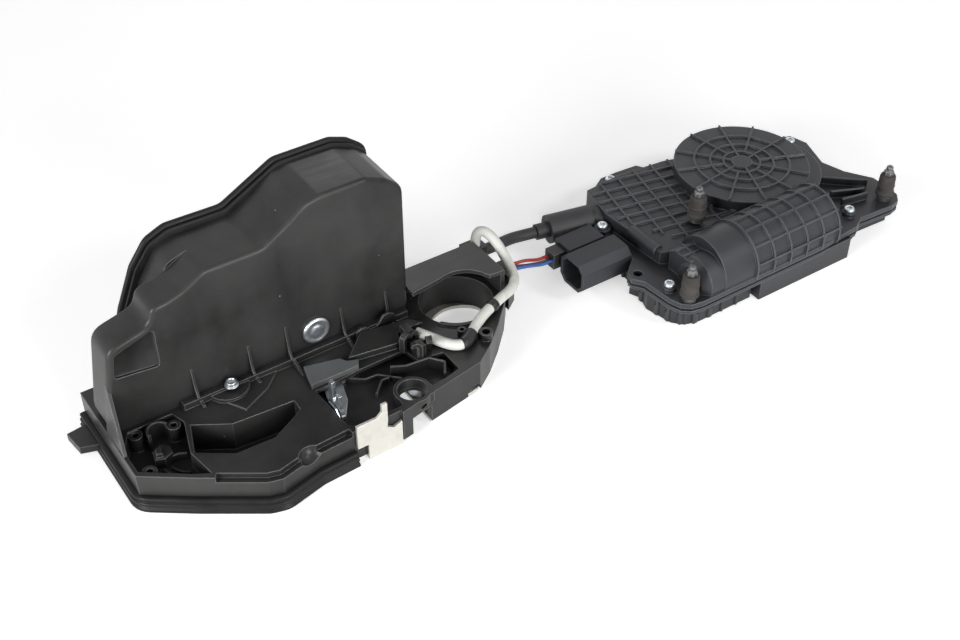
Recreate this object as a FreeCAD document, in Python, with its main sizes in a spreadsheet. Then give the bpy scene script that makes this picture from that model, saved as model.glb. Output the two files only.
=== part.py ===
import FreeCAD, Part
import math
import os
import Sketcher

# Car door latch with a cable-linked closing drive. Millimetres, +Z up. The origin is the
# axis of the lock cylinder bore, in the plane that both units rest on.

SIZES = [
    # latch base and its openings
    ("latch_left", 188.0), ("latch_right", 24.0), ("base_top", 20.0), ("base_rear", 23.0),
    ("front_reach", 51.2), ("plate_thick", 2.0), ("bore_radius", 17.5), ("housing_bore", 19.2),
    ("running_gap", 0.3), ("room_top", 18.0), ("bay_rear", 16.0), ("boss_radius", 3.4),
    # tall actuator cover
    ("cover_front", 9.0), ("cover_back", 44.0), ("cover_end", 27.0), ("cover_peak", 110.0),
    ("cover_shell", 2.2), ("cover_step", 92.0), ("cover_low", 68.0), ("end_depth", 18.0),
    ("gusset_thick", 1.4),
    # hood over the bore
    ("hood_top", 34.0), ("hood_shell", 2.2), ("hood_front", 6.5),
    # seals
    ("seal_width", 3.6), ("rear_seal_thick", 3.0),
    # striker mouth, catch and pawl
    ("mouth_axis", 56.5), ("mouth_width", 12.0), ("mouth_end", 15.0), ("mouth_height", 12.0),
    ("catch_axis_x", 76.0), ("catch_axis_y", 18.0), ("catch_radius", 25.0),
    ("catch_hub", 10.0), ("catch_thick", 6.0), ("striker_radius", 5.5), ("tooth_depth", 5.0),
    ("pawl_axis_x", 44.0), ("pawl_axis_y", 27.5), ("pawl_hub", 6.0),
    ("pivot_radius", 3.0), ("pivot_play", 0.06), ("mechanism_roof", 12.5), ("cover_plate", 2.0),
    ("boss_bore", 7.3), ("boss_wall", 1.9), ("spring_wire", 0.6),
    # release lever
    ("lever_axis_x", 84.0), ("lever_axis_y", 12.0), ("lever_plane", 91.0),
    ("lever_thick", 2.0), ("fork_top", 32.0), ("lever_hub", 5.2),
    # bent flange of the latch plate
    ("flange_left", 93.0), ("flange_right", 69.0),
    ("flange_thick", 1.5), ("flange_top", 23.7), ("finger_top", 30.5),
    # drive unit
    ("drive_front", 68.0), ("flange_low", 11.5), ("drive_floor_top", 13.5),
    ("gasket_thick", 1.5), ("lid_flange_top", 18.0), ("lid_top", 26.0), ("drive_wall", 2.0),
    ("rib_height", 1.2), ("rib_width", 1.1), ("gear_x", 188.0), ("gear_radius", 38.0),
    ("gear_top", 33.0), ("barrel_y", 49.0), ("barrel_z", 20.5), ("barrel_radius", 18.5),
    ("barrel_left", 118.0), ("barrel_ribs", 139.0), ("barrel_right", 200.0),
    ("stud_radius", 2.4), ("bush_radius", 5.1), ("screw_head", 2.9),
    # drive internals
    ("motor_radius", 14.5), ("motor_left", 122.0), ("motor_length", 48.0),
    ("worm_radius", 3.6), ("worm_axle", 1.6), ("wheel_x", 194.0), ("wheel_y", 28.0),
    ("wheel_radius", 17.0), ("wheel_low", 17.5), ("wheel_thick", 6.0), ("pinion_radius", 5.0),
    ("output_radius", 23.0), ("output_low", 24.0), ("drum_radius", 14.0), ("drum_low", 6.0),
    ("drum_width", 11.0), ("axle_radius", 2.0),
    # connector, cable and wires
    ("socket_left", 63.0), ("socket_right", 95.0), ("socket_y", 9.0), ("socket_width", 20.0),
    ("socket_height", 18.0), ("socket_wall", 1.8), ("socket_low", 6.0), ("socket_depth", 22.0),
    ("plug_play", 0.2), ("boot_radius", 8.0), ("ferrule_radius", 4.4), ("cable_radius", 3.2),
    ("wire_radius", 0.9), ("sleeve_radius", 2.7),
]

doc = FreeCAD.newDocument("DoorLatch")
sheet = doc.addObject("Spreadsheet::Sheet", "Sizes")
for row, (alias, number) in enumerate(SIZES, start=1):
    sheet.set("A%d" % row, alias)
    sheet.set("B%d" % row, str(number))
    sheet.setAlias("B%d" % row, alias)
doc.recompute()


class Size:
    """A length that carries its number and the sheet expression behind it."""

    def __init__(self, number, text):
        self.number = number
        self.text = text

    def __add__(self, other):
        return Size(self.number + value(other), "(%s + %s)" % (self.text, text(other)))

    def __sub__(self, other):
        return Size(self.number - value(other), "(%s - %s)" % (self.text, text(other)))

    def __mul__(self, other):
        return Size(self.number * value(other), "(%s * %s)" % (self.text, text(other)))

    def __truediv__(self, other):
        return Size(self.number / value(other), "(%s / %s)" % (self.text, text(other)))

    def __neg__(self):
        return Size(-self.number, "(0 - %s)" % self.text)

    def __radd__(self, other):
        return Size(other + self.number, "(%s + %s)" % (text(other), self.text))

    def __rsub__(self, other):
        return Size(other - self.number, "(%s - %s)" % (text(other), self.text))

    def __rmul__(self, other):
        return self * other


def value(item):
    return item.number if isinstance(item, Size) else float(item)


def text(item):
    return item.text if isinstance(item, Size) else repr(float(item))


class Sheet:
    """Reads the sheet's cells by name: dim.base_top is a Size."""

    def __getattr__(self, alias):
        return Size(float(sheet.get(alias)), "Sizes." + alias)


dim = Sheet()
FLANGE_FRONT = dim.front_reach + dim.flange_thick + dim.running_gap


def bind(item, prop, size):
    """Sets a property, or one coordinate of a placement, from a number or a Size."""
    if isinstance(size, Size) or "." in prop:
        item.setExpression(prop, text(size))
    else:
        setattr(item, prop, size)


def place(item, x, y, z, turn=None):
    if turn is not None:
        item.Placement.Rotation = turn
    bind(item, "Placement.Base.x", x)
    bind(item, "Placement.Base.y", y)
    bind(item, "Placement.Base.z", z)
    return item


X, Y, Z = FreeCAD.Vector(1, 0, 0), FreeCAD.Vector(0, 1, 0), FreeCAD.Vector(0, 0, 1)


def turned(axis, angle):
    return FreeCAD.Rotation(axis, angle)


ALONG_X = turned(Y, 90)
ALONG_Y = turned(X, -90)
ALONG_Y_BACK = turned(X, 90)
nodes = []


def node(item, name):
    """Names a finished sub-part and keeps it for export."""
    item.Label = name
    nodes.append(item)
    return item


def box(name, x, y, z, length, width, height):
    item = doc.addObject("Part::Box", name)
    bind(item, "Length", length)
    bind(item, "Width", width)
    bind(item, "Height", height)
    return place(item, x, y, z)


def rod(name, x, y, z, radius, height, turn=None, angle=360.0):
    item = doc.addObject("Part::Cylinder", name)
    bind(item, "Radius", radius)
    bind(item, "Height", height)
    item.Angle = angle
    return place(item, x, y, z, turn)


def cone(name, x, y, z, low, high, height, turn=None):
    item = doc.addObject("Part::Cone", name)
    bind(item, "Radius1", low)
    bind(item, "Radius2", high)
    bind(item, "Height", height)
    return place(item, x, y, z, turn)


def fuse(name, items):
    item = doc.addObject("Part::MultiFuse", name)
    item.Shapes = items
    return item


def cut(name, base, tools):
    item = doc.addObject("Part::Cut", name)
    item.Base = base
    item.Tool = tools[0] if len(tools) == 1 else fuse(name + "_tools", tools)
    return item


PLANES = {"top": "XY_Plane", "front": "XZ_Plane", "side": "YZ_Plane"}


def body(name):
    return doc.addObject("PartDesign::Body", name)


def draw(target, plane, level, outlines):
    """Sketch of closed polygons and circles on an origin plane of the body, at a level."""
    name = "%s_sketch_%d" % (target.Name, len(target.Group))
    item = target.newObject("Sketcher::SketchObject", name)
    origin = [part for part in target.Origin.OriginFeatures if part.Role == PLANES[plane]][0]
    item.AttachmentSupport = [(origin, "")]
    item.MapMode = "FlatFace"
    bind(item, "AttachmentOffset.Base.z", -level if plane == "front" else level)
    for outline in outlines:
        if isinstance(outline, tuple):
            draw_circle(item, *outline)
        else:
            draw_polygon(item, outline)
    return item


def pin_point(item, curve, end, point):
    for kind, part in (("DistanceX", point[0]), ("DistanceY", point[1])):
        index = item.addConstraint(Sketcher.Constraint(kind, -1, 1, curve, end, value(part)))
        if isinstance(part, Size):
            item.setExpression("Constraints[%d]" % index, part.text)


def draw_polygon(item, points):
    spots = [FreeCAD.Vector(value(x), value(y), 0) for x, y in points]
    first = item.GeometryCount
    for here, there in zip(spots, spots[1:] + spots[:1]):
        item.addGeometry(Part.LineSegment(here, there), False)
    for number, point in enumerate(points):
        curve = first + number
        before = first + (number - 1) % len(points)
        item.addConstraint(Sketcher.Constraint("Coincident", before, 2, curve, 1))
        pin_point(item, curve, 1, point)


def draw_circle(item, x, y, radius):
    centre = FreeCAD.Vector(value(x), value(y), 0)
    curve = item.addGeometry(Part.Circle(centre, Z, value(radius)), False)
    pin_point(item, curve, 3, (x, y))
    index = item.addConstraint(Sketcher.Constraint("Radius", curve, value(radius)))
    if isinstance(radius, Size):
        item.setExpression("Constraints[%d]" % index, radius.text)


def pad(target, plane, level, height, outlines):
    """Adds material from the level, along +X, -Y or +Z of the plane's normal."""
    profile = draw(target, plane, level, outlines)
    item = target.newObject("PartDesign::Pad", profile.Name.replace("sketch", "pad"))
    item.Profile = profile
    bind(item, "Length", height)
    profile.Visibility = False
    return item


def pocket(target, plane, level, depth, outlines):
    """Removes material from the level downwards, against the plane's normal."""
    profile = draw(target, plane, level, outlines)
    item = target.newObject("PartDesign::Pocket", profile.Name.replace("sketch", "pocket"))
    item.Profile = profile
    bind(item, "Length", depth)
    return item


def rounded(target, spots, radius, plane="top"):
    """Fillets the edges that run along the plane's normal through the given spots."""
    doc.recompute()
    tip = target.Tip
    names = []
    for number, edge in enumerate(tip.Shape.Edges, start=1):
        low, high = edge.Vertexes[0].Point, edge.Vertexes[-1].Point
        for u, v in spots:
            if plane == "top":
                gap = max(abs(p.x - value(u)) + abs(p.y - value(v)) for p in (low, high))
            else:
                gap = max(abs(p.x - value(u)) + abs(p.z - value(v)) for p in (low, high))
            if gap < 0.1 and (high - low).Length > 0.5:
                names.append("Edge%d" % number)
    item = target.newObject("PartDesign::Fillet", "%s_round_%d" % (target.Name, len(names)))
    item.Base = (tip, names)
    bind(item, "Radius", radius)
    return item


def rectangle(left, low, right, high):
    return [(left, low), (right, low), (right, high), (left, high)]


def grown(points, distance):
    """The closed polygon moved outwards by a distance, with mitred corners."""
    spots = [(value(x), value(y)) for x, y in points]
    result = []
    for number, (x, y) in enumerate(points):
        before, here = spots[number - 1], spots[number]
        after = spots[(number + 1) % len(spots)]
        first = outward(before, here)
        last = outward(here, after)
        scale = 1.0 + first[0] * last[0] + first[1] * last[1]
        share_x = (first[0] + last[0]) / scale
        share_y = (first[1] + last[1]) / scale
        result.append((x + share_x * distance, y + share_y * distance))
    return result


def outward(start, end):
    """Unit vector to the right of a run, which is outwards on a left-turning outline."""
    run = math.hypot(end[0] - start[0], end[1] - start[1])
    return ((end[1] - start[1]) / run, (start[0] - end[0]) / run)


def bent_path(points, reach=0.45):
    """Straight runs joined by tangent arcs, as large as the shorter run allows."""
    spots = [FreeCAD.Vector(*point) for point in points]
    edges = []
    start = spots[0]
    for before, corner, after in zip(spots, spots[1:], spots[2:]):
        into = (corner - before)
        away = (after - corner)
        trim = reach * min(into.Length, away.Length)
        into.normalize()
        away.normalize()
        half = into.getAngle(away) / 2.0
        radius = trim / math.tan(half)
        first = corner - into * trim
        last = corner + away * trim
        inward = (away - into)
        inward.normalize()
        centre = corner + inward * (radius / math.cos(half))
        middle = centre - inward * radius
        edges.append(Part.LineSegment(start, first).toShape())
        edges.append(Part.Arc(first, middle, last).toShape())
        start = last
    edges.append(Part.LineSegment(start, spots[-1]).toShape())
    return Part.Wire(edges)


def tube(name, points, radius):
    """A cord's solid: one circle swept along its bent path."""
    path = bent_path(points)
    start = path.Edges[0]
    heading = start.tangentAt(start.FirstParameter)
    section = [Part.Wire(Part.makeCircle(value(radius), FreeCAD.Vector(*points[0]), heading))]
    shape = path.makePipeShell(section, True, False)
    bends = [round(edge.Curve.Radius, 1) for edge in path.Edges if hasattr(edge.Curve, "Radius")]
    print("%s runs %.1f mm, bend radii %s" % (name, path.Length, bends))
    item = doc.addObject("Part::Feature", name)
    item.Shape = shape
    return item


# Latch base: a moulded tray with a deck, side walls and an open mechanism bay

BASE_LEFT_FRONT = [(-166.0, -37.0), (-140.0, -54.5), (-133.0, -56.5), (-113.0, -52.0)]
BASE_RIGHT_FRONT = [(-51.0, -49.5), (-19.0, -44.0), (-8.0, -36.5), (4.0, -26.0), (16.0, -14.0)]
BOSSES = [(-177.5, 4.0), (-160.0, 0.5), (-181.0, -20.5)]
PLATE_HOLES = [(-88.0, 14.0), (-40.0, 14.0), (-98.0, -30.0)]


def base_outline():
    d = dim
    return [
        (-d.latch_left, d.cover_back), (-d.latch_left, -21.0), *BASE_LEFT_FRONT,
        (-d.flange_left - 0.5, -d.front_reach), (-d.flange_right + 0.6, -d.front_reach),
        (-d.flange_right + 0.6, -FLANGE_FRONT), *BASE_RIGHT_FRONT,
        (d.latch_right, -4.0), (d.latch_right, d.base_rear), (-d.cover_end, d.base_rear),
        (-d.cover_end, d.cover_back),
    ]


def room_outline():
    """The room for catch, pawl and lever, partly under the shelf."""
    return [(-104.0, -8.0), (-104.0, -40.0), (-96.0, -48.6), (-66.0, -48.6), (-60.0, -46.5),
            (-36.0, -43.5), (-30.0, -38.0), (-30.0, -8.0), (-40.0, 5.0), (-98.0, 5.0)]


def bay_outline():
    """The opening in the deck above that room."""
    rear = -dim.bay_rear
    return [(-95.0, rear - 1.5), (-94.0, -46.0), (-90.0, -48.6), (-66.0, -48.6), (-60.0, -46.5),
            (-36.0, -43.5), (-30.0, -42.0), (-30.0, -28.0), (-43.5, -26.0), (-45.0, rear),
            (-71.0, rear)]


def mouth_outline(end):
    half = dim.mouth_width / 2.0
    return rectangle(-dim.mouth_axis - half, -60.0, -dim.mouth_axis + half, end)


def bevel_cutter(name, start, end, width, drop):
    """A wedge that cuts a sloped edge off the deck, along the wall from start to end."""
    run = math.hypot(end[0] - start[0], end[1] - start[1])
    heading = math.degrees(math.atan2(end[1] - start[1], end[0] - start[0]))
    wedge = doc.addObject("Part::Wedge", name)
    high = value(drop) + 1.0
    reach = value(width) * high / value(drop)
    for key, size in (("Xmin", 0.0), ("Xmax", run), ("X2min", 0.0), ("X2max", run),
                      ("Ymin", 0.0), ("Ymax", high), ("Zmin", -3.0), ("Zmax", 0.0),
                      ("Z2min", -3.0), ("Z2max", reach)):
        setattr(wedge, key, size)
    lay = turned(Z, heading).multiply(turned(X, 90.0))
    slide = FreeCAD.Vector(start[0], start[1], 0.0)
    wedge.Placement = FreeCAD.Placement(slide, lay)
    wedge.setExpression("Placement.Base.z", "Sizes.base_top - %s" % value(drop))
    return wedge


def toe(name, x, reach, thick):
    """Foot of a wall gusset on the deck, with a hollow upper edge."""
    d = dim
    foot = body(name)
    front = value(d.cover_front)
    steps = [(front - reach + reach * share, value(d.base_top) + 0.9 + 3.6 * share ** 2)
             for share in (0.0, 0.35, 0.7)]
    near = front - 3.8
    outline = [(front - reach, d.base_top - 0.5), (near, d.base_top - 0.5),
               (near, d.base_top + 3.3), *steps[::-1]]
    pad(foot, "side", x, thick, [outline])
    return foot


def make_base():
    d = dim
    base = body("latch_base_tray")
    top = d.base_top
    pad(base, "top", d.plate_thick, top - d.plate_thick, [base_outline()])
    pocket(base, "top", top, top, [(-3.0, 2.0, d.housing_bore)])
    pocket(base, "top", d.room_top, d.room_top, [room_outline()])
    pocket(base, "top", top, top - d.room_top + 1.0, [bay_outline()])
    pocket(base, "top", d.mouth_height, d.mouth_height, [mouth_outline(-44.0)])
    roof = d.mechanism_roof + d.cover_plate
    collar = (-d.mouth_axis, -42.0, d.boss_bore + d.boss_wall)
    pad(base, "top", roof, top - roof, [collar])
    block = [(-66.0, -49.0), (-64.5, -40.0), (-61.1, -34.6), (-54.0, -33.6), (-48.0, -40.0),
             (-46.5, -46.5), (-49.0, -49.5)]
    pad(base, "top", roof, top - roof, [block])
    pocket(base, "top", top, top - d.mouth_height, [(-d.mouth_axis, -42.0, d.boss_bore)])
    recess = [(-180.0, 6.5), (-186.0, -4.0), (-186.0, -19.0), (-166.0, -34.0), (-159.0, -38.0),
              (-161.5, -21.5), (-155.5, -1.5), (-158.0, 6.5)]
    pocket(base, "top", top, 9.0, [recess])
    pad(base, "top", top - 9.0, 8.0, [(x, y, d.boss_radius) for x, y in BOSSES])
    pocket(base, "top", top, 7.0, [(x, y, d.boss_radius - 1.8) for x, y in BOSSES])
    channel = [(-154.0, -5.0), (-160.0, -22.3), (-144.5, -33.2), (-125.0, -34.0),
               (-107.0, -24.5), (-106.5, -17.4), (-137.5, -15.2)]
    pocket(base, "top", top, 16.5, [channel])
    room = [(x, y, 3.2) for x, y in PLATE_HOLES]
    pocket(base, "top", d.plate_thick + 9.0, 9.0, room)
    ear = [(-d.latch_left + 1.0, 20.0), (-199.0, 24.0), (-200.5, 36.0), (-d.latch_left + 1.0, 38.0)]
    pad(base, "top", d.plate_thick, 4.0, [ear])
    foot = [(-152.0, d.cover_front - 4.0), (-30.0, d.cover_front - 4.0),
            (-30.0, d.cover_front), (-152.0, d.cover_front)]
    pad(base, "top", top, 3.5, [foot])
    slab = [(-72.0, -9.0), (-45.0, -13.5), (-43.0, -6.5), (-28.5, -6.5), (-33.0, -0.6),
            (-58.0, 4.0)]
    pad(base, "top", top, 3.5, [slab])
    half_disc = [(-128.5 + 10.3 * math.cos(math.radians(angle)),
                  7.5 + 10.3 * math.sin(math.radians(angle))) for angle in range(180, 361, 20)]
    pad(base, "top", top, 2.0, [[(-118.2, 8.6), (-138.8, 8.6), *half_disc]])
    plateau = [(-134.7, 5.5), (-134.7, 0.8), (-128.1, -10.7), (-113.2, -3.4), (-103.3, 5.5)]
    pad(base, "top", top, 0.7, [plateau])
    pocket(base, "front", -52.0, 5.0, [(-55.6, 15.4, 1.9)])
    pocket(base, "front", -46.0, 4.5, [[(-27.0, 1.0), (-18.5, 1.0), (-18.5, 4.2), (-20.5, 6.6),
                                        (-25.0, 6.6), (-27.0, 4.2)]])
    tab = [(d.latch_right - 1.0, -8.0), (30.0, -3.0), (30.0, 5.0), (d.latch_right - 1.0, 5.0)]
    pad(base, "top", top - 12.0, 12.0, [tab])
    pad(base, "top", top - 1.0, 5.0, [(-15.4, -22.5, 2.2), (-6.5, -30.5, 3.4)])
    pocket(base, "top", top + 4.0, 6.0, [(-15.4, -22.5, 1.2), (-6.5, -30.5, 2.2)])
    toes = [toe("gusset_toe_%d" % number, x, reach, d.gusset_thick)
            for number, (x, reach, rise) in enumerate(GUSSETS)]
    rim = cut("bore_rim", rod("bore_rim_outer", -3.0, 2.0, top - 0.5, d.housing_bore + 2.0, 1.6),
              [rod("bore_rim_inner", -3.0, 2.0, top - 1.0, d.housing_bore, 3.0),
               box("bore_rim_rear", -40.0, -9.0, top - 1.0, 80.0, 50.0, 4.0)])
    doc.recompute()
    tray = fuse("latch_base_solid", [base, rim] + toes)
    scoop = doc.addObject("Part::Sphere", "finger_scoop")
    scoop.Radius = 6.5
    place(scoop, -116.5, -53.8, top + 0.5)
    corners = [(-159.0, -41.7), (-140.0, -54.5), (-133.0, -56.5), (-113.0, -52.0), (-94.5, -51.2)]
    cutters = [bevel_cutter("front_bevel_%d" % number, start, end, 5.0, 3.0)
               for number, (start, end) in enumerate(zip(corners[:3], corners[1:4]))]
    cutters.append(bevel_cutter("front_bevel_end", corners[3], corners[4], 2.0, 3.0))
    return node(cut("latch_base", tray, cutters + [scoop]), "latch_base")


# Tall cover over the lock actuator: a stepped box with gussets at its foot

COVER_KNEE = (-180.5, -154.5, -130.0, -101.0, -73.0, -43.0)
GUSSETS = ((-144.0, 7.0, 15.0), (-115.0, 7.0, 15.0), (-95.0, 14.0, 17.0), (-65.0, 9.0, 15.0),
           (-40.0, 7.0, 14.0))


def cover_outline():
    """Counted the left-turning way round, in X and Z."""
    d = dim
    return [
        (-d.latch_left, d.base_top), (-d.cover_end, d.base_top),
        (-d.cover_end, d.cover_peak - 13.0), (COVER_KNEE[5], d.cover_peak),
        (COVER_KNEE[4], d.cover_peak), (COVER_KNEE[3], d.cover_step),
        (COVER_KNEE[2], d.cover_step), (COVER_KNEE[1], d.cover_low + 11.0),
        (COVER_KNEE[0], d.cover_low),
    ]


def rear_cover_outline():
    """The cover's outline at its rear, where the left end falls away."""
    d = dim
    return [
        (-168.0, d.base_top), (-d.cover_end, d.base_top), (-d.cover_end, d.cover_peak - 13.0),
        (COVER_KNEE[5], d.cover_peak), (COVER_KNEE[4], d.cover_peak),
        (COVER_KNEE[3], d.cover_step), (COVER_KNEE[2], d.cover_step), (-145.0, 82.0),
        (-155.0, 66.0), (-162.0, 48.0),
    ]


def make_cover():
    d = dim
    cover = body("actuator_cover")
    depth = d.cover_back - d.cover_front
    pad(cover, "front", d.cover_back, depth, [rear_cover_outline()])
    pad(cover, "front", d.cover_front + d.end_depth, d.end_depth, [cover_outline()])
    rounded(cover, [(COVER_KNEE[5], d.cover_peak), (-d.cover_end, d.cover_peak - 13.0)], 5.0,
            "front")
    rounded(cover, [(COVER_KNEE[3], d.cover_step), (COVER_KNEE[4], d.cover_peak)], 3.0, "front")
    hollow = grown(rear_cover_outline(), -value(d.cover_shell))
    pocket(cover, "front", d.cover_front + d.cover_shell, depth - d.cover_shell * 2.0, [hollow])
    hollow = grown(cover_outline(), -value(d.cover_shell))
    pocket(cover, "front", d.cover_front + d.cover_shell, d.end_depth - d.cover_shell * 2.0,
           [hollow])
    panel = [(-183.5, 48.0), (-158.0, 48.0), (-158.0, 73.5), (-180.0, 64.0)]
    pocket(cover, "front", d.cover_front, 1.4, [panel])
    foot = d.base_top + 3.5
    for x, reach, rise in GUSSETS:
        curve = [(d.cover_front - 3.6 * share, foot + 0.4 + rise * (1.0 - share) ** 2.2)
                 for share in (1.0, 0.75, 0.5, 0.25, 0.0)]
        gusset = [(d.cover_front - 3.6, foot), (d.cover_front + 0.5, foot),
                  (d.cover_front + 0.5, foot + 0.4 + rise), *curve[::-1]]
        pad(cover, "side", x, d.gusset_thick, [gusset])
    fin_run, fin_top = 17.0, 48.0
    strip = [(-d.latch_left, d.base_top), (-d.latch_left + 1.8, d.base_top),
             (-181.8, fin_top), (-183.6, fin_top)]
    pad(cover, "front", d.cover_front + 0.5, fin_run + 0.5, [strip])
    low = d.cover_front - fin_run
    slope = [(d.cover_front, fin_top), (low, d.base_top + 0.5), (low - 1.0, d.base_top + 0.5),
             (low - 1.0, fin_top + 2.0), (d.cover_front, fin_top + 2.0)]
    pocket(cover, "side", -178.0, 14.0, [slope])
    doc.recompute()
    return node(cover, "actuator_cover")


# Hood that bridges the rear of the bore

def make_hood():
    d = dim
    hood = body("bore_hood")
    left = -d.cover_end
    right = d.latch_right - 2.5
    outline = [(left, d.base_rear), (left, d.hood_front - 2.3), (-8.3, d.hood_front + 0.2),
               (-3.0, -8.0), (11.7, -2.7), (13.0, -5.2), (right, -6.0), (right, d.base_rear)]
    pad(hood, "top", d.base_top, d.hood_top - d.base_top, [outline])
    pocket(hood, "top", d.hood_top, 30.0, [(-3.0, -8.0, d.hood_front + 9.1)])
    room = [(left, d.base_rear - d.hood_shell), (left, -12.0), (right - d.hood_shell, -12.0),
            (right - d.hood_shell, d.base_rear - d.hood_shell)]
    pocket(hood, "top", d.hood_top - d.hood_shell, 30.0, [room])
    doc.recompute()
    return node(hood, "bore_hood")


# Zinc-plated latch plate with the bore, the striker slot and a bent-up front flange

def make_plate():
    d = dim
    plate = body("latch_plate")
    half = d.mouth_width / 2.0
    front = -d.front_reach
    outline = [
        (-d.flange_left + 5.6, -FLANGE_FRONT), (-d.flange_right, -FLANGE_FRONT),
        (-d.flange_right, front), (-d.mouth_axis - half, front + 2.0),
        (-d.mouth_axis - half, -d.mouth_end), (-d.mouth_axis + half, -d.mouth_end),
        (-d.mouth_axis + half, -48.0), (-20.0, -42.6), (-9.0, -35.4), (3.0, -25.0),
        (15.0, -13.0), (d.latch_right - 1.0, -3.5), (d.latch_right - 1.0, d.base_rear - 1.0),
        (-d.flange_left - 12.0, d.base_rear - 1.0), (-d.flange_left - 12.0, front + 2.0),
        (-d.flange_left + 5.6, front + 2.0),
    ]
    pad(plate, "top", 0.0, d.plate_thick, [outline])
    holes = [(x, y, 2.5) for x, y in PLATE_HOLES]
    pocket(plate, "top", d.plate_thick, d.plate_thick * 2.0, [(0.0, 0.0, d.bore_radius)])
    pocket(plate, "top", d.plate_thick, d.plate_thick * 2.0, holes)
    left, right = -d.flange_left, -d.flange_right
    flange = [
        (left + 5.6, 0.0), (right, 0.0), (right, d.flange_top - 8.7),
        (right - 4.5, d.flange_top - 10.4), (right - 8.0, d.flange_top - 8.2),
        (right - 7.6, d.flange_top - 3.7), (right - 7.6, d.finger_top),
        (right - 10.4, d.finger_top), (right - 10.6, d.flange_top + 2.2),
        (right - 13.0, d.flange_top), (left, d.flange_top), (left, d.flange_top - 14.0),
        (left + 5.6, d.flange_top - 14.0),
    ]
    pad(plate, "front", -FLANGE_FRONT + d.flange_thick, d.flange_thick, [flange])
    doc.recompute()
    return node(plate, "latch_plate")


# Seals: a ridged strip round the foot and a lip round the rear of the tall cover

SEAL_BANDS = ((0.0, 2.2, 0.0), (2.2, 0.8, 1.2), (3.0, 2.0, 0.4), (5.0, 0.8, 1.5), (5.8, 2.2, 0.8))


def foot_seal_outline(inset):
    d = dim
    inner = [(-d.latch_left, d.cover_back), (-d.latch_left, -21.0), *BASE_LEFT_FRONT,
             (-d.flange_left - 0.5, -d.front_reach)]
    lap = d.seal_width - inset
    outer = [(-d.flange_left - 0.5, -d.front_reach - lap * 1.4), (-128.6, -57.0 - lap * 0.9),
             (-141.5, -55.4 - lap * 0.9), (-168.2 - lap * 0.4, -37.0 - lap * 0.7),
             (-d.latch_left - lap * 0.5, -22.0 - lap * 0.6), (-d.latch_left - lap, -12.0),
             (-d.latch_left - lap, d.cover_back)]
    return inner + outer


def make_foot_seal():
    seal = body("foot_seal")
    for level, height, inset in SEAL_BANDS:
        pad(seal, "top", level, height, [foot_seal_outline(inset)])
    slot = [(-190.0, 19.0), (-186.0, 19.0), (-186.0, 39.0), (-202.0, 39.0), (-202.0, 19.0)]
    pocket(seal, "top", 6.2, 4.4, [slot])
    doc.recompute()
    return node(seal, "foot_seal")


def rear_outline():
    outline = rear_cover_outline()
    outline[0] = (-176.0, dim.seal_width)
    outline[1] = (-dim.cover_end, dim.seal_width)
    return outline


def make_rear_seal():
    d = dim
    seal = body("rear_seal")
    rim = grown(rear_outline(), 0.8)
    inner = grown(rear_outline(), -3.0)
    pad(seal, "front", d.cover_back + d.rear_seal_thick, d.rear_seal_thick, [rim])
    pocket(seal, "front", d.cover_back, d.rear_seal_thick + 1.0, [inner])
    doc.recompute()
    return node(seal, "rear_seal")


# Lock mechanism in the room: claw-shaped catch, pawl, their pins, springs and cover

LATCHED_HEADING = -7.9
CATCH_TRAVEL = 40.0
PAWL_TRAVEL = 18.0
TOOTH_ANGLE = 30.0
TOOTH_LEAN = 9.7


def around(radius, angle):
    """A point at a radius and angle, as numbers times the radius."""
    return (radius * math.cos(math.radians(angle)), radius * math.sin(math.radians(angle)))


def tooth_point(radius):
    """Where the catch's tooth face meets a radius, with the notch along +X."""
    middle = value(dim.catch_radius - dim.tooth_depth / 2.0)
    x, y = around(middle, TOOTH_ANGLE)
    run = (math.cos(math.radians(TOOTH_ANGLE + TOOTH_LEAN)),
           math.sin(math.radians(TOOTH_ANGLE + TOOTH_LEAN)))
    along = x * run[0] + y * run[1]
    step = math.sqrt(along ** 2 + value(radius) ** 2 - middle ** 2) - along
    return (x + step * run[0], y + step * run[1])


def make_catch():
    """Drawn with the striker notch along +X, then turned to the open position."""
    d = dim
    catch = body("catch")
    r, thick = d.catch_radius, d.catch_thick
    inner = r - d.tooth_depth
    reach = d.catch_axis_x - d.mouth_axis
    half = d.striker_radius
    pad(catch, "top", 0.0, thick, [(0.0, 0.0, r)])
    away = [(3.0, 9.0), around(r, 43.4), around(r * 1.85, 45.0), around(r * 2.0, 135.0),
            around(r * 2.0, -135.0), around(r * 1.85, -45.0), around(r, -38.5), (3.0, -9.0)]
    pocket(catch, "top", thick, thick, [away])
    pad(catch, "top", 0.0, thick, [(0.0, 0.0, d.catch_hub)])
    pocket(catch, "top", thick, thick, [rectangle(reach, -half, r * 1.3, half)])
    pocket(catch, "top", thick, thick, [(reach, 0.0, half)])
    step = [around(inner, 10.0), around(r * 1.1, 8.0), tooth_point(r * 1.1), tooth_point(inner),
            around(inner, 20.0)]
    pocket(catch, "top", thick, thick, [step])
    pocket(catch, "top", thick, thick, [(0.0, 0.0, d.pivot_radius + d.pivot_play)])
    place(catch, -d.catch_axis_x, -d.catch_axis_y, d.plate_thick + d.running_gap,
          turned(Z, LATCHED_HEADING - CATCH_TRAVEL))
    doc.recompute()
    return node(catch, "catch")


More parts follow.
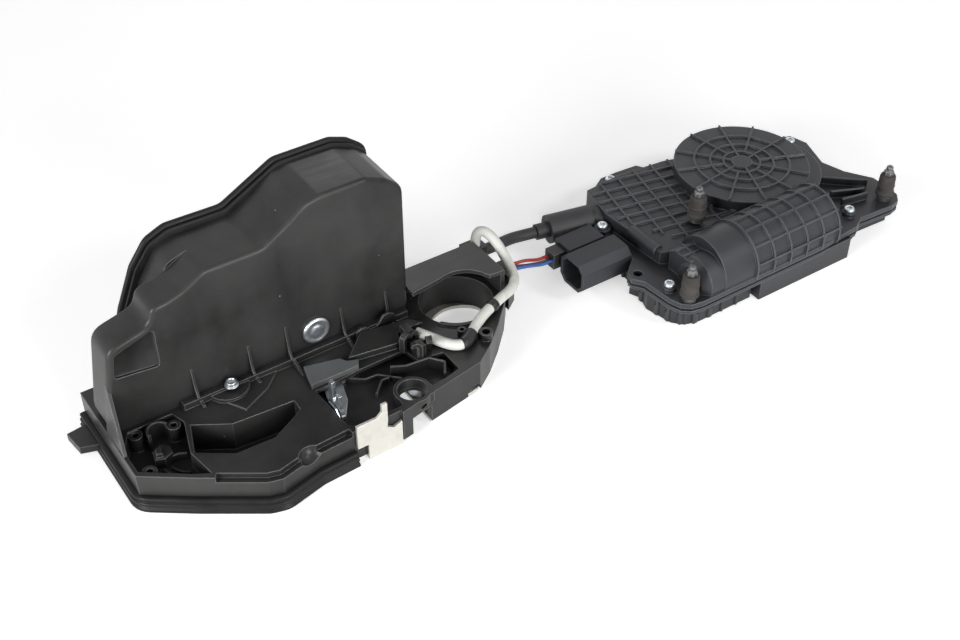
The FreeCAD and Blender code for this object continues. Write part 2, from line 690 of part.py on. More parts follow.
def make_pawl():
    """Drawn engaged behind the catch tooth, then turned to the lifted position."""
    d = dim
    pawl = body("pawl")
    gap = value(d.running_gap)
    lean = math.radians(LATCHED_HEADING + TOOTH_ANGLE + TOOTH_LEAN)
    turn = math.radians(LATCHED_HEADING)

    def latched(point, below=0.0):
        """A point of the latched catch, seen from the pawl's pivot."""
        x, y = point
        across = x * math.cos(turn) - y * math.sin(turn) + below * math.sin(lean)
        up = x * math.sin(turn) + y * math.cos(turn) - below * math.cos(lean)
        return (d.pawl_axis_x - d.catch_axis_x + across, d.pawl_axis_y - d.catch_axis_y + up)

    seat = d.catch_radius - d.tooth_depth + gap
    outline = [latched(tooth_point(d.catch_radius + 1.0), gap), latched(tooth_point(seat), gap),
               latched(around(seat, 20.0)), (-8.5, 12.9), (-6.2, 10.0), (-6.0, 1.0), (0.0, -5.0),
               (6.0, 1.0), (0.5, 14.0)]
    pad(pawl, "top", 0.0, d.catch_thick, [outline])
    pad(pawl, "top", 0.0, d.catch_thick, [(0.0, 0.0, d.pawl_hub)])
    hole = (0.0, 0.0, d.pivot_radius + d.pivot_play)
    pocket(pawl, "top", d.catch_thick, d.catch_thick, [hole])
    place(pawl, -d.pawl_axis_x, -d.pawl_axis_y, d.plate_thick + d.running_gap,
          turned(Z, -PAWL_TRAVEL))
    doc.recompute()
    return node(pawl, "pawl")


def make_pins():
    d = dim
    height = d.mechanism_roof - d.plate_thick
    for name, x, y in (("catch_pin", -d.catch_axis_x, -d.catch_axis_y),
                       ("pawl_pin", -d.pawl_axis_x, -d.pawl_axis_y)):
        node(rod(name, x, y, d.plate_thick, d.pivot_radius, height), name)
    low = d.mechanism_roof + d.cover_plate
    node(rod("lever_pin", -d.lever_axis_x, -d.lever_axis_y, low, d.pivot_radius,
             d.room_top - low), "lever_pin")


def make_springs():
    """Wound legs are left out: each spring is a stack of rings under the cover."""
    d = dim
    wire = d.spring_wire
    for name, x, y in (("catch_spring", -d.catch_axis_x, -d.catch_axis_y),
                       ("pawl_spring", -d.pawl_axis_x, -d.pawl_axis_y)):
        coils = []
        for turn in range(3):
            coil = doc.addObject("Part::Torus", "%s_coil_%d" % (name, turn))
            bind(coil, "Radius1", d.pivot_radius + wire * 2.0)
            bind(coil, "Radius2", wire)
            place(coil, x, y, d.mechanism_roof - wire - wire * turn * 1.7)
            coils.append(coil)
        node(fuse(name, coils), name)


def make_mechanism_cover():
    """Moulded plate over the catch and pawl, open above the striker mouth."""
    d = dim
    cover = body("mechanism_cover")
    outline = grown(room_outline(), -value(d.running_gap))
    pad(cover, "top", d.mechanism_roof, d.cover_plate, [outline])
    level = d.mechanism_roof + d.cover_plate
    pocket(cover, "top", level, d.cover_plate, [(-d.mouth_axis, -42.0, d.boss_bore)])
    doc.recompute()
    return node(cover, "mechanism_cover")


def make_lever():
    """Bell crank with an upright fork for the handle cable."""
    d = dim
    lever = body("release_lever")
    level = d.mechanism_roof + d.cover_plate + d.running_gap
    x, y = -d.lever_axis_x, -d.lever_axis_y
    pad(lever, "top", level, d.lever_thick, [(x, y, d.lever_hub)])
    arm = [(x - 4.8, y + 1.0), (-d.lever_plane - 1.0, -24.0), (-d.lever_plane - 1.0, -37.0),
           (-d.lever_plane + 1.0, -37.0), (-d.lever_plane + 7.0, -28.0), (x + 4.8, y - 1.0)]
    pad(lever, "top", level, d.lever_thick, [arm])
    reach = [(x - 1.0, y - 4.6), (x + 28.0, y + 2.0), (x + 29.0, y + 8.0), (x + 26.0, y + 9.0),
             (x + 1.0, y + 4.6)]
    pad(lever, "top", level, d.lever_thick, [reach])
    fork = [(-37.0, level), (-24.0, level), (-25.0, 24.0), (-26.0, d.fork_top),
            (-28.6, d.fork_top), (-29.0, 23.0), (-30.4, 21.5), (-31.8, 23.0),
            (-32.4, d.fork_top - 4.5), (-34.6, d.fork_top - 4.5), (-35.0, 20.0)]
    pad(lever, "side", -d.lever_plane - 1.0, d.lever_thick, [fork])
    hole = (x, y, d.pivot_radius + d.pivot_play)
    pocket(lever, "top", level + d.lever_thick, d.lever_thick, [hole])
    doc.recompute()
    return node(lever, "release_lever")


# Small hardware on the latch: wall button, deck screw, shelf pad and cable clips

def make_hardware():
    d = dim
    button = fuse("wall_button", [
        rod("wall_button_disc", -79.5, d.cover_front - 1.4, 32.2, 7.2, 1.4, ALONG_Y),
        cone("wall_button_crown", -79.5, d.cover_front - 2.0, 32.2, 6.4, 7.2, 0.6, ALONG_Y),
    ])
    node(button, "wall_button")
    top = d.base_top + 3.5
    screw = cut("deck_screw", fuse("deck_screw_solid", [
        rod("deck_screw_washer", -127.5, 5.0, top, 3.4, 0.8),
        rod("deck_screw_head", -127.5, 5.0, top + 0.8, 2.7, 2.0),
    ]), [rod("deck_screw_drive", -127.5, 5.0, top + 1.6, 1.2, 3.0)])
    node(screw, "deck_screw")
    pad_plate = body("shelf_pad")
    spots = [(-96.0, -15.6), (-70.5, -15.9), (-68.5, -12.0), (-74.0, -9.8), (-75.5, -6.5),
             (-93.0, -2.0)]
    pad(pad_plate, "top", d.base_top, 3.0, [spots])
    doc.recompute()
    node(pad_plate, "shelf_pad")
    clips = fuse("cable_clips", [
        box("cable_clip_rear", -42.0, -13.5, d.base_top, 4.0, 6.5, 8.0),
        box("cable_clip_front", -43.0, -25.0, d.base_top, 5.0, 5.0, 7.0),
        box("cable_clip_bar", -42.0, -20.5, d.base_top, 3.5, 7.5, 4.0),
    ])
    node(clips, "cable_clips")


# Cords: the white sleeve clipped round the bore, the drive cable and the three wires

SLEEVE_ROUTE = [(-34.7, -11.0, 23.0), (-31.0, -17.5, 22.7), (-26.0, -28.0, 22.7),
                (-20.5, -31.5, 22.7), (-13.8, -27.7, 22.9), (-3.0, -20.4, 24.2),
                (12.0, -14.5, 24.6), (25.5, -9.5, 23.6), (31.0, -1.0, 24.0), (32.0, 8.0, 28.0),
                (31.5, 16.0, 34.0), (29.0, 23.0, 38.0), (26.0, 27.5, 35.0), (26.0, 27.5, 27.0)]
GLAND_SIDE = ((106.0, 35.0), (101.2, 12.5))
GLAND_Z = 18.5
GLAND_HEADING = math.degrees(math.atan2(GLAND_SIDE[1][0] - GLAND_SIDE[0][0],
                                        GLAND_SIDE[0][1] - GLAND_SIDE[1][1]))
BOOT_COLLAR, BOOT_LENGTH, FERRULE_LENGTH = 6.0, 31.0, 7.0
WIRE_START = (34.5, 9.0, 19.0)
WIRE_END = (60.0, 7.0, 16.0)
WIRES = (("wire_red", 2.2, 1.5), ("wire_brown", 0.0, -0.5), ("wire_blue", -2.2, 0.5))


def from_gland(distance):
    """A point in front of the drive's side wall, on the cable boot's axis."""
    share = 0.32
    (x0, y0), (x1, y1) = GLAND_SIDE
    heading = math.radians(GLAND_HEADING)
    return (x1 + (x0 - x1) * share - distance * math.cos(heading),
            y1 + (y0 - y1) * share - distance * math.sin(heading), GLAND_Z)


def make_cords():
    d = dim
    node(tube("cable_sleeve", SLEEVE_ROUTE, d.sleeve_radius), "cable_sleeve")
    end = BOOT_LENGTH + FERRULE_LENGTH
    route = [(31.0, 27.5, 21.0), (41.0, 27.5, 21.0), (50.0, 29.5, 19.5), from_gland(end + 9.0),
             from_gland(end)]
    node(tube("drive_cable_jacket", route, d.cable_radius), "drive_cable_jacket")
    x0, y0, z0 = WIRE_START
    x1, y1, z1 = WIRE_END
    for name, across, lift in WIRES:
        route = [(x0, y0 + across, z0), (x0 + 4.0, y0 + across, z0),
                 (x0 + 11.5, y0 - 1.0 + across, z0 - 1.5 + lift),
                 (x1 - 6.0, y1 + across, z1 + lift * 0.3), (x1, y1 + across, z1 + lift * 0.3)]
        node(tube(name, route, d.wire_radius), name)


def make_cord_fittings():
    d = dim
    turn = turned(Z, GLAND_HEADING).multiply(ALONG_X)
    boot = fuse("cable_boot", [
        rod("cable_boot_collar", *from_gland(BOOT_COLLAR), d.boot_radius - 1.6, BOOT_COLLAR, turn),
        rod("cable_boot_barrel", *from_gland(BOOT_LENGTH), d.boot_radius,
            BOOT_LENGTH - BOOT_COLLAR, turn),
    ])
    node(boot, "cable_boot")
    node(rod("cable_ferrule", *from_gland(BOOT_LENGTH + FERRULE_LENGTH), d.ferrule_radius,
             FERRULE_LENGTH, turn), "cable_ferrule")
    holder = fuse("cable_holder", [
        box("cable_holder_block", 19.0, d.base_rear, 14.0, 12.0, 9.5, 13.0),
        rod("cable_holder_nose", 29.0, 27.5, 21.0, 4.2, 2.0, ALONG_X),
    ])
    node(holder, "cable_holder")
    node(box("wire_grommet", d.latch_right, 5.2, 13.0, 10.5, 8.0, 10.0), "wire_grommet")


# Drive unit: lower housing, ribbed lid with motor barrel and gear dome

STUDS = (("front", 98.0, -62.0, 0.0), ("middle", 137.0, -21.0, 1.0), ("right", 247.0, -55.0, 0.0))
LID_SCREWS = [(130.0, 44.0, 0.0), (96.5, 8.5, 3.0), (94.5, -50.5, 2.5), (243.0, 16.0, 0.0),
              (219.0, -55.5, 2.5)]


def drive_outline():
    d = dim
    return [
        *GLAND_SIDE, (95.0, 13.0), (91.5, 9.0), (92.0, 4.0), (d.socket_right, 1.2),
        (d.socket_right, -19.5), (90.0, -23.5), (85.5, -27.5), (84.0, -33.0), (88.0, -38.5),
        (90.0, -57.0), (92.0, -63.0), (96.5, -66.8), (103.0, -d.drive_front), (d.gear_x, -d.drive_front), (d.gear_x + 27.0, -66.0),
        (223.0, -61.5), (246.0, -63.0), (252.0, -61.5), (256.0, -57.0), (257.0, -50.0),
        (257.0, -38.0), (248.0, -24.0),
        (244.0, -10.0), (251.0, 10.0), (248.0, 21.0), (236.0, 24.0), (220.0, 26.0),
        (168.0, 37.0), (159.0, 37.0), (152.0, 48.0), (138.0, 49.0), (127.0, 49.0), (116.0, 42.0),
    ]


def tray_outline():
    """The lower housing's foot, set in from the flange."""
    d = dim
    return [
        (107.0, 34.0), (102.8, 14.0), (96.5, 2.0), (96.5, -19.0), (90.0, -25.0), (92.5, -31.0),
        (89.5, -40.0), (93.0, -56.0), (98.0, -61.5), (106.0, 4.5 - d.drive_front),
        (141.5, 4.5 - d.drive_front), (141.5, 8.0 - d.drive_front), (144.0, 8.0 - d.drive_front),
        (144.0, 0.2 - d.drive_front),
        (d.gear_x + 22.0, 0.2 - d.drive_front), (d.gear_x + 22.0, -63.0),
        (d.gear_x + 30.0, -60.0), (232.0, -54.0), (253.0, -55.0),
        (255.0, -38.0), (246.5, -25.0), (242.5, -10.0), (249.0, 9.0), (246.5, 19.5),
        (236.0, 22.0), (220.0, 24.0), (168.0, 35.0), (159.0, 35.0), (151.0, 45.5),
        (138.0, 46.5), (127.0, 46.5), (117.0, 40.0),
    ]


def deck_outline():
    """The raised part of the lid, inside its screw flange."""
    return [*GLAND_SIDE, (102.0, 0.0), (104.0, -31.0), (118.0, -40.0),
            (205.0, -40.0), (226.0, -24.0), (230.0, -10.0), (226.0, 14.0), (160.0, 34.0),
            (130.0, 37.0)]


def grid_outline():
    """The part of the deck that carries the square grid of ribs."""
    return [*GLAND_SIDE, (103.0, 1.0), (106.0, -5.0), (118.0, -27.0), (130.0, -32.6),
            (145.0, -31.0), (205.0, -38.0), (226.0, -24.0), (230.0, -10.0), (226.0, 14.0),
            (160.0, 34.0), (130.0, 37.0)]


def make_drive_housing():
    d = dim
    housing = body("drive_housing")
    floor = d.drive_floor_top
    dome = (d.gear_x, 0.0, d.gear_radius)
    pad(housing, "top", 0.0, floor, [tray_outline()])
    pad(housing, "top", 0.0, floor, [dome])
    pad(housing, "top", d.flange_low, floor - d.flange_low, [drive_outline()])
    inside = (d.gear_x, 0.0, d.gear_radius - d.drive_wall * 2.0)
    pocket(housing, "top", floor, floor - d.drive_wall, [inside])
    pocket(housing, "top", floor, floor - d.drive_wall,
           [(d.wheel_x, -d.wheel_y, d.wheel_radius + 1.0)])
    bay = rectangle(d.motor_left - d.running_gap, -d.barrel_y - d.motor_radius,
                    d.barrel_right - d.drive_wall, -d.barrel_y + d.motor_radius)
    pocket(housing, "top", floor, floor - d.barrel_z + d.motor_radius, [bay])
    doc.recompute()
    return node(housing, "drive_housing")


def make_drive_gasket():
    d = dim
    gasket = body("drive_gasket")
    level = d.drive_floor_top + d.gasket_thick
    pad(gasket, "top", d.drive_floor_top, d.gasket_thick, [grown(drive_outline(), -0.4)])
    inside = (d.gear_x, 0.0, d.gear_radius - d.drive_wall * 2.0)
    pocket(gasket, "top", level, d.gasket_thick, [inside])
    pocket(gasket, "top", level, d.gasket_thick,
           [(d.wheel_x, -d.wheel_y, d.wheel_radius + 1.0)])
    bay = rectangle(d.motor_left - d.running_gap, -d.barrel_y - d.motor_radius,
                    d.barrel_right - d.drive_wall, -d.barrel_y + d.motor_radius)
    pocket(gasket, "top", level, d.gasket_thick, [bay])
    doc.recompute()
    return node(gasket, "drive_gasket")


def strips(outline, heading, pitch, ends):
    """Start points and lengths of parallel lines clipped to a closed polygon."""
    turn = math.radians(heading)
    cosine, sine = math.cos(turn), math.sin(turn)
    flat = [(value(x) * cosine + value(y) * sine, value(y) * cosine - value(x) * sine)
            for x, y in outline]
    low, high = min(v for u, v in flat), max(v for u, v in flat)
    result = []
    level = low + pitch * 0.6
    while level < high - pitch * 0.3:
        crossings = []
        for (u0, v0), (u1, v1) in zip(flat, flat[1:] + flat[:1]):
            if (v0 - level) * (v1 - level) < 0.0:
                crossings.append(u0 + (u1 - u0) * (level - v0) / (v1 - v0))
        first, last = min(crossings) + ends, max(crossings) - ends
        result.append((first * cosine - level * sine, first * sine + level * cosine,
                       last - first))
        level += pitch
    return result


def bar(name, x, y, z, heading, length, height):
    """A rib of the common width that starts at a point and runs along a heading."""
    turn = math.radians(heading)
    half = dim.rib_width / 2.0
    item = box(name, 0.0, 0.0, z, length, dim.rib_width, height)
    return place(item, x + half * math.sin(turn), y - half * math.cos(turn), z,
                 turned(Z, heading))


LID_WEBS = [(227.0, -24.0, -41.0, 27.0), (222.0, -38.0, -24.0, 20.0), (222.0, -47.0, -11.0, 17.0),
            (204.5, -41.0, 40.0, 8.0)]


def make_lid_ribs():
    """Square grid on the deck, spokes and rings on the dome, staves on the barrel."""
    d = dim
    ribs = []
    for heading, pitch in ((-12.4, 8.4), (77.6, 11.5)):
        for x, y, length in strips(grid_outline(), heading, pitch, 0.5):
            ribs.append(bar("lid_grid_%d" % len(ribs), x, y, d.lid_top - 1.0, heading, length,
                            d.rib_height + 1.0))
    for number in range(12):
        heading = number * 30.0 + 8.0
        start = 5.5 if number % 2 == 0 else 10.8
        x, y = around(start, heading)
        ribs.append(bar("lid_spoke_%d" % number, x + d.gear_x, y, d.gear_top - 1.0, heading,
                        d.gear_radius - start, d.rib_height + 1.0))
    for share in (0.715, 0.48, 0.285):
        name = "lid_ring_%d" % len(ribs)
        radius = d.gear_radius * share
        ribs.append(cut(name, rod(name + "_disc", d.gear_x, 0.0, d.gear_top - 1.0, radius,
                                  d.rib_height + 1.0),
                        [rod(name + "_hole", d.gear_x, 0.0, d.gear_top - 2.0,
                             radius - d.rib_width, d.rib_height + 3.0)]))
    ribs.append(rod("lid_hub", d.gear_x, 0.0, d.gear_top - 1.0, d.gear_radius * 0.155,
                    d.rib_height + 1.0))
    for angle in range(15, 180, 30):
        lift = d.barrel_radius - 1.0
        item = box("lid_stave_%d" % angle, 0.0, 0.0, 0.0, d.barrel_right - d.barrel_ribs,
                   d.rib_height + 1.0, d.rib_width)
        turn = math.radians(angle)
        ribs.append(place(item, d.barrel_ribs, lift * math.cos(turn) - d.barrel_y,
                          lift * math.sin(turn) + d.barrel_z, turned(X, angle)))
    return ribs


def make_drive_lid():
    d = dim
    lid = body("drive_lid_shell")
    low = d.drive_floor_top + d.gasket_thick
    pad(lid, "top", low, d.lid_flange_top - low, [drive_outline()])
    pad(lid, "top", low, d.lid_top - low, [deck_outline()])
    pad(lid, "top", low, d.gear_top - low, [(d.gear_x, 0.0, d.gear_radius)])
    barrel_length = d.barrel_right - d.barrel_left
    pad(lid, "side", d.barrel_left, barrel_length, [(-d.barrel_y, d.barrel_z, d.barrel_radius)])
    box_side = [(-56.0, low), (-36.0, low), (-36.0, 29.5), (-40.0, 31.5), (-52.0, 31.5),
                (-56.0, 28.0)]
    pad(lid, "side", d.barrel_left - 12.0, 13.0, [box_side])
    pad(lid, "side", d.barrel_left - 9.0, 10.0, [(-d.barrel_y - 5.0, d.barrel_z, 13.2)])
    pad(lid, "top", low, 29.0 - low, [(d.gear_x + 9.0, -5.0, d.gear_radius - 3.0)])
    pad(lid, "top", low, d.lid_flange_top - low + 3.0, [(96.5, 8.5, 4.6)])
    pad(lid, "top", low, d.lid_flange_top - low + 2.5,
        [(94.5, -50.5, 3.6), (219.0, -55.5, 3.6)])
    pad(lid, "side", d.barrel_right - 1.0, 4.0, [(-d.barrel_y, d.barrel_z, d.barrel_radius - 4.0)])
    for number in range(6):
        pad(lid, "side", d.barrel_ribs + number * 11.8, d.rib_width,
            [(-d.barrel_y, d.barrel_z, d.barrel_radius + d.rib_height)])
    doc.recompute()
    forms = [
        cone("lid_barrel_cap", d.barrel_left - 13.0, -d.barrel_y - 5.0, d.barrel_z, 9.0, 13.2,
             4.0, ALONG_X),
        rod("lid_ridge", 104.2, -7.0, d.lid_top - 0.6, 3.0, 22.0, ALONG_Y_BACK),
        rod("lid_boss", 211.5, -20.0, low, 4.2, d.gear_top - 2.5 - low),
    ]
    for number, (x, y, heading, length) in enumerate(LID_WEBS):
        forms.append(bar("lid_web_%d" % number, x, y, d.lid_flange_top - 0.5, heading, length, 5.0))
    for number in range(3):
        forms.append(box("lid_box_rib_%d" % number, d.barrel_left - 12.0, -52.5 + number * 5.6,
                         31.0, 12.5, d.rib_width, 1.4))
    forms.append(box("lid_box_rib_across", d.barrel_left - 6.5, -53.0, 31.0, d.rib_width, 15.0,
                     1.4))
    solid = fuse("drive_lid_solid", [lid] + forms + make_lid_ribs())
    inside = d.gear_radius - d.drive_wall * 2.0
    room_left = d.motor_left - d.running_gap
    tools = [
        box("drive_lid_below", 60.0, -100.0, 0.0, 220.0, 160.0, low),
        rod("drive_lid_gear_room", d.gear_x, 0.0, 0.0, inside, d.gear_top - d.drive_wall),
        rod("drive_lid_wheel_room", d.wheel_x, -d.wheel_y, 0.0, d.wheel_radius + 1.0,
            d.output_low + 1.0),
        rod("drive_lid_ear_hole", 89.6, -31.0, 0.0, 2.5, 40.0),
        rod("drive_lid_slot_left", 144.0, 41.6, 0.0, 3.4, 22.0),
        rod("drive_lid_slot_right", 150.0, 40.2, 0.0, 3.4, 22.0),
        rod("drive_lid_motor_room", room_left, -d.barrel_y, d.barrel_z,
            d.motor_radius + d.running_gap, d.barrel_right - d.drive_wall - room_left, ALONG_X),
    ]
    node(cut("drive_lid", solid, tools), "drive_lid")


def make_drive_screws():
    d = dim
    screws = []
    for number, (x, y, lift) in enumerate(LID_SCREWS):
        low = d.lid_flange_top + lift
        head = rod("drive_screw_%d" % number, x, y, low, d.screw_head, 2.4)
        drive = rod("drive_screw_drive_%d" % number, x, y, low + 1.2, 1.2, 2.0)
        screws.append(cut("drive_screw_cut_%d" % number, head, [drive]))
    node(fuse("drive_screws", screws), "drive_screws")


def make_studs():
    """Mounting studs with a rubber bush each."""
    d = dim
    shank = d.stud_radius
    for name, x, y, on_deck in STUDS:
        low = d.lid_flange_top + (d.lid_top + d.rib_height - d.lid_flange_top) * on_deck
        stud = fuse("stud_" + name, [
            rod("stud_foot_" + name, x, y, low, shank + 1.4, 3.0),
            rod("stud_shank_" + name, x, y, low, shank, 18.0),
            rod("stud_neck_" + name, x, y, low + 18.0, shank - 0.7, 1.5),
            cone("stud_tip_" + name, x, y, low + 19.5, shank - 0.2, shank - 1.4, 2.0),
        ])
        node(stud, "stud_" + name)
        bush = cut("bush_" + name, rod("bush_ring_" + name, x, y, low + 3.0, d.bush_radius, 13.0),
                   [rod("bush_hole_" + name, x, y, low + 2.0, shank, 16.0)])
        node(bush, "bush_" + name)


def bevelled(left, low, right, high, bevel):
    return [(left + bevel, low), (right - bevel, low), (right, low + bevel),
            (right, high - bevel), (right - bevel, high), (left + bevel, high),
            (left, high - bevel), (left, low + bevel)]


PLUG_HOUSE = (1.0, 9.0, 13.0, 22.5)


def make_connector():
    d = dim
    shell = body("connector_shell")
    low, high = -d.socket_y - d.socket_width / 2.0, -d.socket_y + d.socket_width / 2.0
    top = d.socket_low + d.socket_height
    wall = d.socket_wall
    pad(shell, "side", d.socket_left, d.socket_right - d.socket_left,
        [bevelled(low, d.socket_low, high, top, 4.0)])
    left, bottom, right, high_z = PLUG_HOUSE
    pad(shell, "side", d.socket_left + 5.0, 23.0, [rectangle(left - 1.0, bottom, right, high_z)])
    pocket(shell, "side", d.socket_left + d.socket_depth, d.socket_depth + 5.0,
           [bevelled(low + wall, d.socket_low + wall, high - wall, top - wall, 3.2)])
    pocket(shell, "side", d.socket_left + 18.0, 20.0,
           [rectangle(left + wall, bottom + wall, right - wall, high_z - wall)])
    doc.recompute()
    node(shell, "connector_shell")
    pins = [box("socket_pin_%d" % row, d.socket_left + 10.0, low + 4.2 + row * 3.4,
                d.socket_low + 7.8, d.socket_depth - 10.0, 0.8, 2.4) for row in range(4)]
    node(fuse("socket_pins", pins), "socket_pins")
    play = wall + d.plug_play
    plug = box("wire_plug", d.socket_left - 3.0, left + play, bottom + play, 21.0,
               right - left - play * 2.0, high_z - bottom - play * 2.0)
    node(plug, "wire_plug")


# Gear train inside the drive: motor, worm, worm wheel, output gear with its cable drum

def toothed(target, level, radius, thick, teeth, depth):
    """A disc on the body with notches cut between its teeth."""
    pad(target, "top", level, thick, [(0.0, 0.0, radius)])
    profile = draw(target, "top", level + thick, [[
        (radius - depth, -0.3 * depth), (radius * 1.05, -0.6 * depth),
        (radius * 1.05, 0.6 * depth), (radius - depth, 0.3 * depth)]])
    gap = target.newObject("PartDesign::Pocket", profile.Name.replace("sketch", "gap"))
    gap.Profile = profile
    bind(gap, "Length", thick)
    doc.recompute()
    pattern = target.newObject("PartDesign::PolarPattern", profile.Name.replace("sketch", "teeth"))
    pattern.Originals = [gap]
    pattern.Axis = (profile, ["N_Axis"])
    pattern.Angle = 360
    pattern.Occurrences = teeth
    target.Tip = pattern
    doc.recompute()


def make_gear_train():
    d = dim
    can_end = d.motor_left + d.motor_length
    play = d.pivot_play
    can = cut("motor_can", rod("motor_can_solid", d.motor_left, -d.barrel_y, d.barrel_z,
                               d.motor_radius, d.motor_length, ALONG_X),
              [rod("motor_can_bore", can_end - 20.0, -d.barrel_y, d.barrel_z,
                   d.worm_axle + play, 20.0, ALONG_X)])
    node(can, "motor_can")
    axle_end = d.barrel_right - d.drive_wall - d.running_gap
    worm = fuse("worm_shaft", [
        rod("worm_axle", can_end - 19.5, -d.barrel_y, d.barrel_z, d.worm_axle,
            axle_end - can_end + 19.5, ALONG_X),
        rod("worm_thread", can_end + 3.0, -d.barrel_y, d.barrel_z, d.worm_radius, 22.0, ALONG_X),
    ])
    node(worm, "worm_shaft")
    roof = d.gear_top - d.drive_wall
    wheel = body("worm_wheel")
    low = d.drive_wall + d.running_gap
    pad(wheel, "top", 0.0, d.wheel_low - low, [(0.0, 0.0, d.axle_radius + 2.0)])
    toothed(wheel, d.wheel_low - low, d.wheel_radius, d.wheel_thick, 40, 1.6)
    top = d.wheel_low + d.wheel_thick - low
    pad(wheel, "top", top, roof - d.running_gap - d.wheel_low - d.wheel_thick,
        [(0.0, 0.0, d.pinion_radius)])
    pocket(wheel, "top", roof - d.running_gap - low, roof, [(0.0, 0.0, d.axle_radius + play)])
    place(wheel, d.wheel_x, -d.wheel_y, low)
    doc.recompute()
    node(wheel, "worm_wheel")
    gear = body("output_gear")
    toothed(gear, 0.0, d.output_radius, d.wheel_thick, 54, 1.6)
    pocket(gear, "top", d.wheel_thick, d.wheel_thick, [(0.0, 0.0, d.pivot_radius + play)])
    place(gear, d.gear_x, 0.0, d.output_low)
    doc.recompute()
    node(gear, "output_gear")
    drum = body("cable_drum")
    hub = d.pivot_radius + 3.0
    pad(drum, "top", low, d.output_low - low, [(0.0, 0.0, hub)])
    pad(drum, "top", d.drum_low, d.drum_width, [(0.0, 0.0, d.drum_radius)])
    pocket(drum, "top", d.output_low, d.output_low, [(0.0, 0.0, d.pivot_radius + play)])
    place(drum, d.gear_x, 0.0, 0.0)
    doc.recompute()
    node(drum, "cable_drum")
    node(rod("wheel_axle", d.wheel_x, -d.wheel_y, d.drive_wall, d.axle_radius,
             roof - d.drive_wall), "wheel_axle")
    node(rod("drum_axle", d.gear_x, 0.0, d.drive_wall, d.pivot_radius,
             roof - d.drive_wall), "drum_axle")


for make in (make_base, make_cover, make_hood, make_plate, make_foot_seal, make_rear_seal,
             make_catch, make_pawl, make_pins, make_springs, make_mechanism_cover, make_lever,
             make_hardware, make_cords, make_cord_fittings, make_drive_housing,
             make_drive_gasket, make_drive_lid, make_drive_screws, make_studs, make_connector,
             make_gear_train):
    make()


def check_and_export():
    doc.recompute()
    for item in doc.Objects:
        if "Invalid" in item.State or "Error" in item.State:
            raise RuntimeError("failed feature: " + item.Name)
    os.makedirs("parts", exist_ok=True)
    for item in nodes:
        shape = item.Shape
        if shape.isNull() or not shape.isValid():
            raise RuntimeError("bad shape: " + item.Label)
        shape.exportStep(os.path.join("parts", item.Label + ".step"))
        print("%-20s solids %d volume %.0f" % (item.Label, len(shape.Solids), shape.Volume))


check_and_export()
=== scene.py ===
"""A car door latch joined by a cable to the motor drive that pulls the door shut."""
import math

import bmesh
import bpy
from mathutils import Matrix, Vector


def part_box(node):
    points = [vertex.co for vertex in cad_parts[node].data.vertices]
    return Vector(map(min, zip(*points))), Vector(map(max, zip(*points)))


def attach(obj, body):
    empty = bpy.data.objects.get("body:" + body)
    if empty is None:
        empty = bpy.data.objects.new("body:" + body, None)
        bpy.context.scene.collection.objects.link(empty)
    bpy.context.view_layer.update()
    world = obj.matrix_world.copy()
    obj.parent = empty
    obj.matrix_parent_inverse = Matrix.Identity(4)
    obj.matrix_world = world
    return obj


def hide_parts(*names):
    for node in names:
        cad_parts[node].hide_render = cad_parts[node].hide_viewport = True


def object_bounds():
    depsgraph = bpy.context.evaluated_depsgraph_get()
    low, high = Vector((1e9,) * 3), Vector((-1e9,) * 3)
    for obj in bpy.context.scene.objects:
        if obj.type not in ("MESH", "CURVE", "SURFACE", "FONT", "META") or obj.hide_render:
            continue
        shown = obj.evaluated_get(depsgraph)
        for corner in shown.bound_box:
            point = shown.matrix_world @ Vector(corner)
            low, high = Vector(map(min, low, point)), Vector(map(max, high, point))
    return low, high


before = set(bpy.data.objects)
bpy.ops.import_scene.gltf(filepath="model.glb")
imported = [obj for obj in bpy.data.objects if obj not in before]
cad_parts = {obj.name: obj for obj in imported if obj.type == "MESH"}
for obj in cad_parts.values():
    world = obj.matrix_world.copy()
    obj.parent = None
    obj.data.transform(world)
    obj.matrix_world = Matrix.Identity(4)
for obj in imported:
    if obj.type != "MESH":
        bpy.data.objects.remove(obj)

bl_info = {
    "name": "Door latch with closing drive",
    "version": (1, 0, 0),
    "blender": (4, 5, 0),
    "location": "3D View > Sidebar > Door Latch",
    "description": "Finishes a packed door latch and lays its cords, screws and springs",
    "category": "Object",
}

CAD_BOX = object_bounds()
MM = 0.001


# Settings a user would change

def colour_setting(name, description, default):
    return bpy.props.FloatVectorProperty(
        name=name, description=description, default=default, subtype="COLOR")


def length_setting(name, description, default):
    return bpy.props.FloatProperty(
        name=name, description=description, default=default, unit="LENGTH")


def level_setting(name, description, default, least=0.0):
    return bpy.props.FloatProperty(
        name=name, description=description, default=default, min=least)


class LatchFinish(bpy.types.PropertyGroup):
    housing: colour_setting("Latch housing", "Moulded plastic of the latch",
                            (0.026, 0.026, 0.0255))
    drive: colour_setting("Drive housing", "Moulded plastic of the closing drive",
                          (0.027, 0.028, 0.032))
    seal: colour_setting("Seal", "Rubber of the two seals", (0.009, 0.009, 0.009))
    bush: colour_setting("Bushes", "Rubber of the mounting bushes", (0.034, 0.031, 0.029))
    pad: colour_setting("Shelf pad", "Soft pad on the latch's shelf", (0.105, 0.112, 0.112))
    zinc: colour_setting("Zinc", "Plating of levers, screws and pins", (0.62, 0.66, 0.70))
    plate: colour_setting("Plate", "Plating of the latch plate", (0.62, 0.61, 0.56))
    sleeve: colour_setting("Sleeve", "White sleeve round the lock's cable", (0.72, 0.72, 0.68))
    gear: colour_setting("Gears", "Acetal of the gear wheels", (0.70, 0.69, 0.64))
    dust: bpy.props.FloatProperty(
        name="Dust", description="Share of the surface cells that carry a speck", default=0.30,
        min=0.0, max=1.0, subtype="FACTOR")


